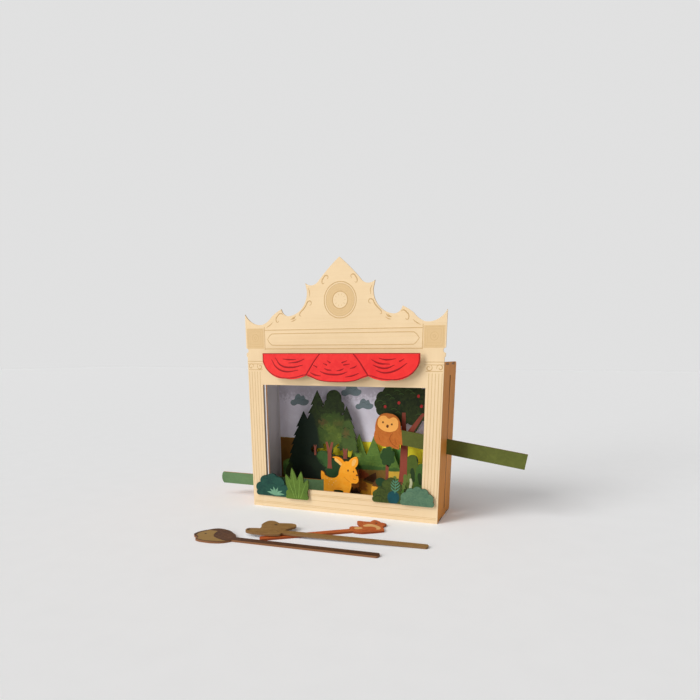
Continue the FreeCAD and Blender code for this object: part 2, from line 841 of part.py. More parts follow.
def apple_shapes():
    left = size("apple_left")
    width = size("apple_width")
    crown_bottom = size("apple_crown_bottom")
    crown_height = size("apple_crown_height")
    ground = size("apple_ground_height")
    bush_width = size("apple_bush_width")
    bush_top = STAND + size("apple_bush_height")
    trunk_width = size("apple_trunk_width")
    trunk_left = left + size("apple_trunk_from_left") - trunk_width / 2
    trunk_height = crown_bottom + crown_height * 0.3 - STAND
    shapes = [
        figure(APPLE_GROUND, left, STAND, width, ground),
        figure(APPLE_TRUNK, trunk_left, STAND, trunk_width, trunk_height),
        lobed_crown(left, crown_bottom, width, crown_height, 13),
        mound(trunk_left + trunk_width * 0.9, STAND, bush_width, bush_top),
        mound(trunk_left + trunk_width * 0.7 + bush_width, STAND, bush_width, bush_top - bush_width * 0.7),
    ]
    return shapes + feet(left, width)


apple_front = "- box_depth / 2 + apple_from_front"
keep("apple_tree_flat", die_cut("apple_tree_flat", apple_shapes(), [], "flat_card", apple_front))


# Stick puppets: the animal and its stick are one die-cut piece

PUPPET_FRONT = SLIT_MIDDLE + " - puppet_card / 2"

FAWN = (
    (0.10, 0.0), (0.12, 0.24, 0.04), (0.0, 0.655, 0.10), (0.10, 0.575, 0.16), (0.34, 0.52, -0.12),
    (0.47, 0.6, -0.12), (0.56, 0.82, 0.06), (0.30, 0.955, -0.08), (0.62, 0.875, 0.2), (0.74, 0.885, 0.1),
    (0.95, 1.0, 0.12), (0.91, 0.765, 0.22), (1.0, 0.56, 0.05), (0.93, 0.435, 0.22), (0.82, 0.435, -0.06),
    (0.77, 0.25, 0.06), (0.765, 0.0), (0.64, 0.0), (0.6, 0.26, 0.03), (0.34, 0.26, -0.06), (0.3, 0.0, 0.03),
)
fawn_left = size("fawn_left")
fawn_body = figure(FAWN, fawn_left, size("fawn_bottom"), size("fawn_width"), size("fawn_height"))
fawn_stick_end = fawn_left + size("fawn_width") * 0.15 - size("fawn_stick_length")
fawn_stick = outline([
    (fawn_stick_end + 1.5, size("fawn_stick_bottom")),
    (fawn_stick_end, size("fawn_stick_bottom") + size("fawn_stick_width") / 2, 0.1),
    (fawn_stick_end + 1.5, size("fawn_stick_bottom") + size("fawn_stick_width"), 0.1),
    (fawn_left + size("fawn_width") * 0.2, size("fawn_stick_bottom") + size("fawn_stick_width")),
    (fawn_left + size("fawn_width") * 0.2, size("fawn_stick_bottom")),
])
keep("fawn_puppet", die_cut("fawn_puppet", [fawn_body, fawn_stick], [], "puppet_card", PUPPET_FRONT))

owl_width = size("owl_head_width")
owl_height = size("owl_head_height")
owl_half = owl_width / 2
owl_foot = -size("owl_body_drop")
owl_body = outline([
    (-owl_half * 0.72, owl_foot * 0.92),
    (-owl_half * 0.98, owl_foot * 0.35, 0.14),
    (-owl_half, owl_height * 0.1, 0.05),
    (0.0, owl_height / 2, 0.2),
    (owl_half, owl_height * 0.1, 0.2),
    (owl_half * 1.02, owl_foot * 0.4, 0.1),
    (owl_half * 1.22, owl_foot * 1.0, 0.02),
    (owl_half * 0.4, owl_foot * 0.93, 0.06),
    (-owl_half * 0.2, owl_foot, 0.1),
])
owl_stick_bottom = -size("owl_stick_drop") - size("owl_stick_width") / 2
owl_stick = rectangle(owl_half * 0.7, owl_stick_bottom, size("owl_stick_length"), size("owl_stick_width"))
owl = die_cut("owl_puppet", [owl_body, owl_stick], [], "puppet_card", PUPPET_FRONT)
owl.setExpression(".Placement.Base.x", "sizes.owl_middle")
owl.setExpression(".Placement.Base.z", "sizes.owl_head_centre")
owl.setExpression(".Placement.Rotation.Angle", "sizes.owl_tilt")
owl.Placement.Rotation.Axis = Vector(0, 1, 0)
keep("owl_puppet", owl)

# Puppets laid on the table: each is drawn upright, then laid down with its printed face up

HEDGEHOG = (
    (0.2, 0.08, 0.08), (0.17, 0.22, -0.1), (0.0, 0.4, 0.1), (0.13, 0.8, 0.12), (0.3, 0.99, 0.08),
    (0.52, 0.96, 0.08), (0.78, 0.76, 0.09), (0.97, 0.5, 0.08), (0.96, 0.24, 0.1), (0.74, 0.03, 0.1),
    (0.42, 0.0, 0.05),
)
HARE = (
    (0.08, 0.05, 0.06), (0.0, 0.19, 0.14), (0.05, 0.31, 0.18), (0.28, 0.36, 0.02), (0.21, 0.62, -0.06),
    (0.25, 0.97, 0.06), (0.4, 1.0, 0.14), (0.56, 0.87, 0.04), (0.82, 0.93, 0.02), (1.0, 0.86, 0.14),
    (0.98, 0.62, 0.14), (0.88, 0.42, -0.02), (0.86, 0.07, 0.04), (0.6, 0.0, 0.06), (0.3, 0.01, 0.02),
)
FOX = (
    (0.02, 0.14, 0.02), (0.0, 0.5, 0.04), (0.1, 0.58, 0.12), (0.3, 0.51, -0.06), (0.31, 0.64, -0.06),
    (0.35, 0.97, 0.08), (0.45, 0.96, 0.12), (0.66, 0.82, -0.04), (0.82, 0.96, 0.08), (0.9, 0.7, 0.1),
    (1.0, 0.56, 0.06), (0.96, 0.46, 0.14), (0.82, 0.3, -0.06), (0.76, 0.02, 0.05), (0.2, 0.03, 0.02),
)


def loose_puppet(prefix, points, mirrored):
    """The flat shape of a puppet with its stick to the right, or to the left where it is mirrored."""
    width = size(prefix + "_width")
    height = size(prefix + "_height")
    animal = figure(points, -width if mirrored else 0.0, 0.0, width, height)
    low = size(prefix + "_stick_height")
    high = low + size("loose_stick_width")
    middle = (low + high) / 2
    root = width * 0.7
    end = width + size(prefix + "_stick_length")
    shoulder = end - size("loose_stick_width") * 0.2
    stick_points = [(root, high), (shoulder, high), (end, middle, 0.12), (shoulder, low, 0.12), (root, low)]
    if mirrored:
        stick_points = [(-point[0], low + high - point[1]) + point[2:] for point in stick_points]
    stick = outline(stick_points)
    return die_cut(prefix + "_puppet", [animal, stick], [], "puppet_card", "0")


def lay_on_table(prefix, points, mirrored, rest_length):
    """Cuts a puppet and lays it in front of the box. Its head end is raised where its stick rests on
    another puppet, that far from the stick's end."""
    piece = loose_puppet(prefix, points, mirrored)
    length = size(prefix + "_width") + size(prefix + "_stick_length")
    thickness = size("puppet_card")
    raised = 0.0
    if rest_length:
        raised = math.atan2(thickness + size("resting_gap"), rest_length)
    lay_down = FreeCAD.Rotation(Vector(1, 0, 0), -90)
    rise = FreeCAD.Rotation(Vector(0, 1, 0), math.degrees(raised))
    heading = FreeCAD.Rotation(Vector(0, 0, 1), size(prefix + "_angle"))
    height = thickness * math.cos(raised) + length * math.sin(raised)
    corner = Vector(size(prefix + "_from_middle"), BOX_FRONT - size(prefix + "_from_front"), height)
    piece.setExpression(".Placement.Base.y", None)
    piece.Placement = FreeCAD.Placement(corner, heading.multiply(rise).multiply(lay_down))
    keep(prefix + "_puppet", piece)


lay_on_table("hedgehog", HEDGEHOG, False, 0.0)
lay_on_table("hare", HARE, False, size("hare_rest_length"))
lay_on_table("fox", FOX, True, 0.0)


# Every object is checked before anything is written

document.recompute()
broken = [item.Name for item in document.Objects if "Invalid" in item.State or "Error" in item.State]
for piece in nodes:
    if piece.Shape.isNull() or not piece.Shape.isValid() or not piece.Shape.Solids:
        broken.append(piece.Label)
if broken:
    raise RuntimeError("These objects failed: " + ", ".join(broken))

os.makedirs("parts", exist_ok=True)
for piece in nodes:
    piece.Shape.exportStep("parts/%s.step" % piece.Label)
    box = piece.Shape.BoundBox
    print("%-22s %d solids  x %.1f..%.1f  y %.1f..%.1f  z %.1f..%.1f" % (
        piece.Label, len(piece.Shape.Solids), box.XMin, box.XMax, box.YMin, box.YMax, box.ZMin, box.ZMax))
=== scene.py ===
import math

import bpy
from mathutils import Matrix


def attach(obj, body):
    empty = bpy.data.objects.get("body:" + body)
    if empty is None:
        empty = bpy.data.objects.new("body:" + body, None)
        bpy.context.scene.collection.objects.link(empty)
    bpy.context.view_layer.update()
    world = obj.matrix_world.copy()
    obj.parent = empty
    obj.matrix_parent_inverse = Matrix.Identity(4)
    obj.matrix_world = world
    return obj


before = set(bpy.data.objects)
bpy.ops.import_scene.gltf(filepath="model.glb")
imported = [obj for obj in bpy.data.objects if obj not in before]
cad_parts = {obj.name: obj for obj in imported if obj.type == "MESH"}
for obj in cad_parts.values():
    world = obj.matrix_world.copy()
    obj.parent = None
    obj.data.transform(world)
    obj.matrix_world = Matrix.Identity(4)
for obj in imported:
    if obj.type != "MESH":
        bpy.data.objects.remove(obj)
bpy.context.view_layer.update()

# Looks of the toy theatre. Lengths in the drawings are millimetres, in the same frame as the CAD.

MM = 0.001
UP_FRONT = Matrix.Rotation(math.radians(90), 4, "X")


# Colours

def paint(red, green, blue):
    """A colour written as it shows on screen, turned into the linear values that shaders use."""
    channels = []
    for level in (red, green, blue):
        share = level / 255
        channels.append(share / 12.92 if share <= 0.04045 else ((share + 0.055) / 1.055) ** 2.4)
    return (*channels, 1.0)


def scaled(colour, share):
    """The colour made darker or lighter, up to white."""
    return tuple(min(1.0, share * level) for level in colour[:3]) + (1.0,)


CREAM = paint(229, 203, 164)
TAN = paint(219, 188, 142)
BARE_CARD = paint(222, 218, 220)
CARD_CORE = paint(214, 178, 128)
BRICK = paint(148, 78, 60)
APPLE_RED = paint(190, 45, 45)
INK_BROWN = paint(104, 54, 20)
CURTAIN_RED = paint(232, 46, 44)
FOLD_RED = paint(150, 18, 26)


# Shader wiring

class Wiring:
    """Adds nodes to a material or a group and joins them."""

    def __init__(self, tree):
        self.tree = tree

    def node(self, kind, inputs=(), **settings):
        made = self.tree.nodes.new(kind)
        for name, value in settings.items():
            setattr(made, name, value)
        for socket, value in inputs:
            self.feed(made.inputs[socket], value)
        return made

    def feed(self, socket, value):
        if isinstance(value, bpy.types.NodeSocket):
            self.tree.links.new(value, socket)
        else:
            socket.default_value = value

    def math(self, operation, *values, clamp=False):
        inputs = list(enumerate(values))
        return self.node("ShaderNodeMath", inputs, operation=operation, use_clamp=clamp).outputs[0]

    def vector(self, operation, *values):
        made = self.node("ShaderNodeVectorMath", operation=operation)
        for place, value in enumerate(values):
            self.feed(made.inputs["Scale" if operation == "SCALE" and place == 1 else place], value)
        return made.outputs["Value" if operation in ("DOT_PRODUCT", "LENGTH") else "Vector"]

    def mix(self, share, below, above):
        inputs = (("Factor", share), ("A", below), ("B", above))
        made = self.node("ShaderNodeMix", data_type="RGBA")
        for name, value in inputs:
            socket = [each for each in made.inputs if each.name == name and each.enabled][0]
            self.feed(socket, value)
        return [each for each in made.outputs if each.enabled][0]

    def ramp(self, value, low, high):
        """0 at or under low, 1 at or over high, with smooth ends."""
        inputs = (("Value", value), ("From Min", low), ("From Max", high))
        return self.node("ShaderNodeMapRange", inputs, interpolation_type="SMOOTHSTEP").outputs[0]

    def noise(self, vector, scale, detail=3.0, roughness=0.5, distortion=0.0):
        inputs = (
            ("Vector", vector),
            ("Scale", scale),
            ("Detail", detail),
            ("Roughness", roughness),
            ("Distortion", distortion),
        )
        return self.node("ShaderNodeTexNoise", inputs).outputs


def new_group(name, inputs, outputs):
    """An empty node group with its sockets: (name, kind, value) in, (name, kind) out."""
    tree = bpy.data.node_groups.new(name, "ShaderNodeTree")
    for label, kind, value in inputs:
        socket = tree.interface.new_socket(label, in_out="INPUT", socket_type="NodeSocket" + kind)
        if value is not None:
            socket.default_value = value
    for label, kind in outputs:
        tree.interface.new_socket(label, in_out="OUTPUT", socket_type="NodeSocket" + kind)
    wiring = Wiring(tree)
    return wiring, wiring.node("NodeGroupInput").outputs, wiring.node("NodeGroupOutput")


def build_face_group():
    """Tells the printed face of a card, which looks towards Facing, from its cut edge and its back."""
    wiring, given, end = new_group(
        "card faces", [("Facing", "Vector", (0.0, -1.0, 0.0))], [("Printed", "Float"), ("Edge", "Float")]
    )
    normal = wiring.node("ShaderNodeTexCoord").outputs["Normal"]
    towards = wiring.vector("DOT_PRODUCT", normal, given["Facing"])
    wiring.feed(end.inputs["Printed"], wiring.math("GREATER_THAN", towards, 0.6))
    wiring.feed(end.inputs["Edge"], wiring.math("LESS_THAN", wiring.math("ABSOLUTE", towards), 0.6))
    return wiring.tree


def build_wash_group():
    """Water colour on card: a broad wash, finer brush dabs, and the fibres of the paper."""
    wiring, given, end = new_group(
        "water colour",
        [("Vector", "Vector", None), ("Dab Size", "Float", 4.0)],
        [("Wash", "Float"), ("Dabs", "Float"), ("Fibre", "Float")],
    )
    rate = wiring.math("DIVIDE", 1.0, given["Dab Size"])
    wash = wiring.noise(given["Vector"], wiring.math("MULTIPLY", rate, 0.22), 4.0, 0.6, 0.6)
    dabs = wiring.noise(given["Vector"], rate, 5.0, 0.62, 1.4)
    fibre = wiring.noise(given["Vector"], 2.6, 4.0, 0.7)
    wiring.feed(end.inputs["Wash"], wiring.ramp(wash["Fac"], 0.32, 0.68))
    wiring.feed(end.inputs["Dabs"], wiring.ramp(dabs["Fac"], 0.35, 0.72))
    wiring.feed(end.inputs["Fibre"], fibre["Fac"])
    return wiring.tree


def build_patch_group(name, square):
    """A painted oval or, if square, a rectangle in the XZ plane. Ragged and Soft are in millimetres."""
    wiring, given, end = new_group(
        name,
        [
            ("Vector", "Vector", None),
            ("Centre", "Vector", (0.0, 0.0, 0.0)),
            ("Size", "Vector", (10.0, 1.0, 10.0)),
            ("Angle", "Float", 0.0),
            ("Ragged", "Float", 1.0),
            ("Soft", "Float", 0.3),
        ],
        [("Mask", "Float")],
    )
    offset = wiring.vector("SUBTRACT", given["Vector"], given["Centre"])
    turned = wiring.node(
        "ShaderNodeVectorRotate",
        (("Vector", offset), ("Angle", given["Angle"])),
        rotation_type="Y_AXIS",
    ).outputs["Vector"]
    size = wiring.node("ShaderNodeSeparateXYZ", (("Vector", given["Size"]),)).outputs
    if square:
        spot = wiring.node("ShaderNodeSeparateXYZ", (("Vector", turned),)).outputs
        beyond = [wiring.math("SUBTRACT", wiring.math("ABSOLUTE", spot[axis]), size[axis]) for axis in "XZ"]
        outside = wiring.math("MAXIMUM", *beyond)
    else:
        flat = wiring.vector("MULTIPLY", turned, (1.0, 0.0, 1.0))
        reach = wiring.vector("LENGTH", wiring.vector("DIVIDE", flat, given["Size"]))
        mean_size = wiring.math("MULTIPLY", wiring.math("ADD", size["X"], size["Z"]), 0.5)
        outside = wiring.math("MULTIPLY", wiring.math("SUBTRACT", reach, 1.0), mean_size)
    edge = wiring.noise(given["Vector"], 0.55, 4.0, 0.6)["Fac"]
    wobble = wiring.math("MULTIPLY", wiring.math("SUBTRACT", edge, 0.5), given["Ragged"])
    ragged = wiring.math("MULTIPLY_ADD", wobble, 2.0, outside)
    low = wiring.math("MULTIPLY", given["Soft"], -1.0)
    inside = wiring.math("SUBTRACT", 1.0, wiring.ramp(ragged, low, given["Soft"]))
    wiring.feed(end.inputs["Mask"], inside)
    return wiring.tree


def build_grain_group():
    """Printed wood: long fine streaks along Z where Upright is 1, and along X where it is 0."""
    wiring, given, end = new_group(
        "printed wood",
        [("Vector", "Vector", None), ("Upright", "Float", 0.0)],
        [("Streaks", "Float"), ("Bands", "Float")],
    )
    streaks = []
    bands = []
    for stretch in ((0.035, 1.0, 1.0), (1.0, 1.0, 0.03)):
        along = wiring.vector("MULTIPLY", given["Vector"], stretch)
        streaks.append(wiring.noise(along, 1.15, 4.0, 0.65, 0.25)["Fac"])
        bands.append(wiring.noise(along, 0.28, 2.0, 0.5, 0.8)["Fac"])
    for label, pair in (("Streaks", streaks), ("Bands", bands)):
        level, upright = pair
        blend = wiring.node("ShaderNodeMix", (("Factor", given["Upright"]),), data_type="FLOAT")
        wiring.feed(blend.inputs["A"], level)
        wiring.feed(blend.inputs["B"], upright)
        wiring.feed(end.inputs[label], wiring.ramp(blend.outputs["Result"], 0.3, 0.7))
    return wiring.tree


CARD_FACES = build_face_group()
WATER_COLOUR = build_wash_group()
PAINTED_OVAL = build_patch_group("painted oval", False)
PAINTED_PANEL = build_patch_group("painted panel", True)
PRINTED_WOOD = build_grain_group()


# Materials

def place_group(wiring, tree, inputs):
    made = wiring.node("ShaderNodeGroup", node_tree=tree)
    for name, value in inputs:
        wiring.feed(made.inputs[name], value)
    return made.outputs


def start_material(name, roughness):
    material = bpy.data.materials.new(name)
    material.use_nodes = True
    wiring = Wiring(material.node_tree)
    shader = material.node_tree.nodes["Principled BSDF"]
    shader.inputs["Roughness"].default_value = roughness
    shader.inputs["Specular IOR Level"].default_value = 0.15
    place = wiring.node("ShaderNodeTexCoord").outputs["Object"]
    return material, wiring, shader, wiring.vector("SCALE", place, 1000.0)


def add_relief(wiring, shader, fibre, strength, depth):
    """The slight relief of paper fibres, depth in metres."""
    inputs = (("Strength", strength), ("Distance", depth), ("Height", fibre))
    wiring.feed(shader.inputs["Normal"], wiring.node("ShaderNodeBump", inputs).outputs["Normal"])


def finish_card(wiring, shader, printed, facing, fibre, edge, back):
    """Joins a card's three faces and gives it the relief of its paper."""
    faces = place_group(wiring, CARD_FACES, (("Facing", facing),))
    speckle = wiring.math("MULTIPLY", wiring.ramp(fibre, 0.3, 0.7), 0.12)
    card = wiring.mix(speckle, back, scaled(back, 0.72))
    sides = wiring.mix(faces["Printed"], card, printed)
    whole = wiring.mix(faces["Edge"], sides, edge)
    wiring.feed(shader.inputs["Base Color"], whole)
    add_relief(wiring, shader, fibre, 0.16, 0.00006)


def oval(colour, x, z, across, high, angle=0, ragged=0.1):
    """A painted oval round (x, z). Ragged is its edge's roughness as a share of its size."""
    rough = ragged * (across + high) / 2
    return PAINTED_OVAL, colour, (x, 0.0, z), (across, 1.0, high), angle, rough


def panel(colour, x, z, across, high, angle=0, rough=0.0):
    """A painted rectangle round (x, z), with half its width and height, and its roughness in millimetres."""
    return PAINTED_PANEL, colour, (x, 0.0, z), (across, 1.0, high), angle, rough


def painted_card(
    name, colours, patches=(), dab=4.0, facing=(0, -1, 0), edge=CARD_CORE, back=BARE_CARD, roughness=0.62
):
    """Card painted with a wash of three colours, and with ovals and panels as patches over it.

    The colours are the main one, its broad shade and its dabs.
    """
    material, wiring, shader, place = start_material(name, roughness)
    wash = place_group(wiring, WATER_COLOUR, (("Vector", place), ("Dab Size", dab)))
    main, shade, dabbed = colours
    printed = wiring.mix(wash["Wash"], main, shade)
    printed = wiring.mix(wiring.math("MULTIPLY", wash["Dabs"], 0.55), printed, dabbed)
    tone = wiring.math("MULTIPLY_ADD", wash["Wash"], -0.2, 1.04)
    tone = wiring.math("MULTIPLY_ADD", wash["Dabs"], 0.16, tone)
    for shape, colour, centre, size, angle, rough in patches:
        mask = place_group(wiring, shape, (
            ("Vector", place),
            ("Centre", centre),
            ("Size", size),
            ("Angle", math.radians(angle)),
            ("Ragged", rough),
            ("Soft", 0.15 + 0.3 * rough),
        ))["Mask"]
        printed = wiring.mix(mask, printed, wiring.vector("SCALE", colour[:3], tone))
    finish_card(wiring, shader, printed, facing, wash["Fibre"], edge, back)
    return material


POST_INNER_EDGE = 54.5
POST_TOP = 104.6


def wood_card(name, facing, base, streak, upright, figure=0.5, edge=CARD_CORE):
    """Card printed as pale wood, with figure as the strength of its grain.

    Upright is 1 or 0, or "posts", where the grain is upright only beside the opening.
    """
    material, wiring, shader, place = start_material(name, 0.6)
    if upright == "posts":
        parts = wiring.node("ShaderNodeSeparateXYZ", (("Vector", place),)).outputs
        outside = wiring.math("GREATER_THAN", wiring.math("ABSOLUTE", parts["X"]), POST_INNER_EDGE)
        below = wiring.math("LESS_THAN", parts["Z"], POST_TOP)
        upright = wiring.math("MULTIPLY", outside, below)
    grain = place_group(wiring, PRINTED_WOOD, (("Vector", place), ("Upright", upright)))
    wash = place_group(wiring, WATER_COLOUR, (("Vector", place), ("Dab Size", 9.0)))
    printed = wiring.mix(wiring.math("MULTIPLY", grain["Streaks"], figure), base, streak)
    printed = wiring.mix(wiring.math("MULTIPLY", grain["Bands"], figure), printed, streak)
    printed = wiring.mix(wiring.math("MULTIPLY", wash["Wash"], 0.4), printed, scaled(base, 1.08))
    finish_card(wiring, shader, printed, facing, wash["Fibre"], edge, BARE_CARD)
    return material


def ink(name, colour, shade=0.8):
    """Printing ink, uneven between its colour and the same colour times shade."""
    material, wiring, shader, place = start_material(name, 0.55)
    wash = place_group(wiring, WATER_COLOUR, (("Vector", place), ("Dab Size", 2.2)))
    uneven = wiring.math("MULTIPLY", wash["Dabs"], 0.6)
    wiring.feed(shader.inputs["Base Color"], wiring.mix(uneven, colour, scaled(colour, shade)))
    add_relief(wiring, shader, wash["Fibre"], 0.1, 0.00004)
    return material


# Drawing: printed lines and fields are thin raised films of ink on a card's face

FILM = 0.03
LINE_FLATNESS = 0.22


def deselect():
    bpy.ops.object.select_all(action="DESELECT")


def select_only(piece):
    deselect()
    piece.select_set(True)
    bpy.context.view_layer.objects.active = piece


def splines_on_sheet(name, outlines, closed, smooth):
    """A flat curve drawn on the XY plane. A point is (x, y) or (x, y, width)."""
    deselect()
    bpy.ops.curve.primitive_bezier_curve_add(location=(0, 0, 0))
    curve = bpy.context.active_object
    curve.name = name
    curve.data.splines.clear()
    for points in outlines:
        spline = curve.data.splines.new("BEZIER")
        spline.bezier_points.add(len(points) - 1)
        for knot, point in zip(spline.bezier_points, points):
            knot.co = (point[0] * MM, point[1] * MM, 0)
            knot.handle_left_type = "AUTO" if smooth else "VECTOR"
            knot.handle_right_type = knot.handle_left_type
            knot.radius = point[2] if len(point) > 2 else 1.0
        spline.use_cyclic_u = closed
    return curve


def to_mesh(piece):
    select_only(piece)
    bpy.ops.object.convert(target="MESH")
    return bpy.context.active_object


def settle(piece, place, material, body, bend=None):
    """Puts a finished drawing in its place and on its body. Bend gives a curved card's y from x."""
    piece.matrix_world = place
    select_only(piece)
    bpy.ops.object.transform_apply(location=True, rotation=True, scale=True)
    if bend:
        for vertex in piece.data.vertices:
            vertex.co.y += bend(vertex.co.x)
    piece.data.materials.clear()
    piece.data.materials.append(material)
    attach(piece, body)


def lines(name, strokes, width, place, material, body, closed=False, smooth=True, bend=None):
    """Ink lines through points, each as wide as width times its third number."""
    curve = splines_on_sheet(name, strokes, closed, smooth)
    curve.data.dimensions = "3D"
    curve.data.bevel_depth = width * MM / 2
    curve.data.bevel_resolution = 1
    curve.data.resolution_u = 6
    curve.data.use_fill_caps = True
    piece = to_mesh(curve)
    select_only(piece)
    bpy.ops.object.mode_set(mode="EDIT")
    bpy.ops.mesh.select_all(action="SELECT")
    bpy.ops.transform.resize(value=(1, 1, LINE_FLATNESS), center_override=(0, 0, 0))
    bpy.ops.object.mode_set(mode="OBJECT")
    settle(piece, place, material, body, bend)


def fields(name, outlines, place, material, body, smooth=True, level=1):
    """Closed fields of ink. A higher level lies over the lower ones."""
    curve = splines_on_sheet(name, outlines, True, smooth)
    curve.data.dimensions = "2D"
    curve.data.fill_mode = "BOTH"
    curve.data.extrude = FILM * level * MM
    curve.data.resolution_u = 6
    settle(to_mesh(curve), place, material, body)


def round_points(x, z, across, high, count=8):
    """Points round an oval, for a closed smooth outline."""
    points = []
    for step in range(count):
        turn = 2 * math.pi * step / count
        points.append((x + across * math.cos(turn), z + high * math.sin(turn)))
    return points


def box_points(left, low, right, high):
    return [(left, low), (left, high), (right, high), (right, low)]


def scallops(left, low, width, height, lobes):
    """A leafy crown outline: round lobes side by side on an oval."""
    points = []
    for lobe in range(lobes):
        for step in range(5):
            share = (lobe + step / 5) * 2 * math.pi / lobes
            bulge = 0.4 + 0.1 * math.sin(math.pi * step / 5)
            points.append((
                left + width * (0.5 + bulge * math.cos(share)),
                low + height * (0.5 + bulge * math.sin(share)),
            ))
    return points


def upright(front):
    """Place of a drawing on an upright card whose printed face is at y = front."""
    return Matrix.Translation((0, front * MM, 0)) @ UP_FRONT


def dress(node, material):
    """Gives a CAD node its material."""
    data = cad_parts[node].data
    data.materials.clear()
    data.materials.append(material)


# Stage box and front

FRONT = -20.0
ROSETTE = (0.4, 133.9)
BLOCK_X = 58.6
BLOCK_Z = 112.45
SIDE_BASE = paint(230, 154, 70)
SIDE_STREAK = paint(198, 116, 42)
SIDE_EDGE = paint(150, 104, 64)

dress("front_panel", wood_card("front print", (0, -1, 0), CREAM, TAN, "posts", 0.3))
dress("left_wall", wood_card("left wall print", (-1, 0, 0), SIDE_BASE, SIDE_STREAK, 1.0, edge=SIDE_EDGE))
dress("right_wall", wood_card("right wall print", (1, 0, 0), SIDE_BASE, SIDE_STREAK, 1.0, edge=SIDE_EDGE))
dress("base_panel", wood_card("base print", (0, 0, -1), SIDE_BASE, SIDE_STREAK, 0.0, edge=SIDE_EDGE))
dress("roof_panel", wood_card("roof print", (0, 0, 1), SIDE_BASE, SIDE_STREAK, 0.0, edge=SIDE_EDGE))
dress("back_wall", wood_card("back print", (0, 1, 0), SIDE_BASE, SIDE_STREAK, 0.0, edge=SIDE_EDGE))
spacer_card = wood_card("spacer print", (0, -1, 0), CREAM, TAN, 0.0, 0.3)
dress("curtain_spacer_left", spacer_card)
dress("curtain_spacer_right", spacer_card)


def both_sides(strokes):
    """The strokes and their mirror images."""
    return strokes + [[(-point[0],) + tuple(point[1:]) for point in stroke] for stroke in strokes]


def scroll(x, z, size, turn):
    """A small carved curl with a tail, as at the top of a column."""
    points = []
    for step in range(9):
        angle = math.radians(turn) + step * 0.85
        reach = size * (0.22 + 0.1 * step)
        width = 0.55 + 0.75 * math.sin(math.pi * step / 8)
        points.append((x + reach * math.cos(angle), z + reach * math.sin(angle), width))
    return points


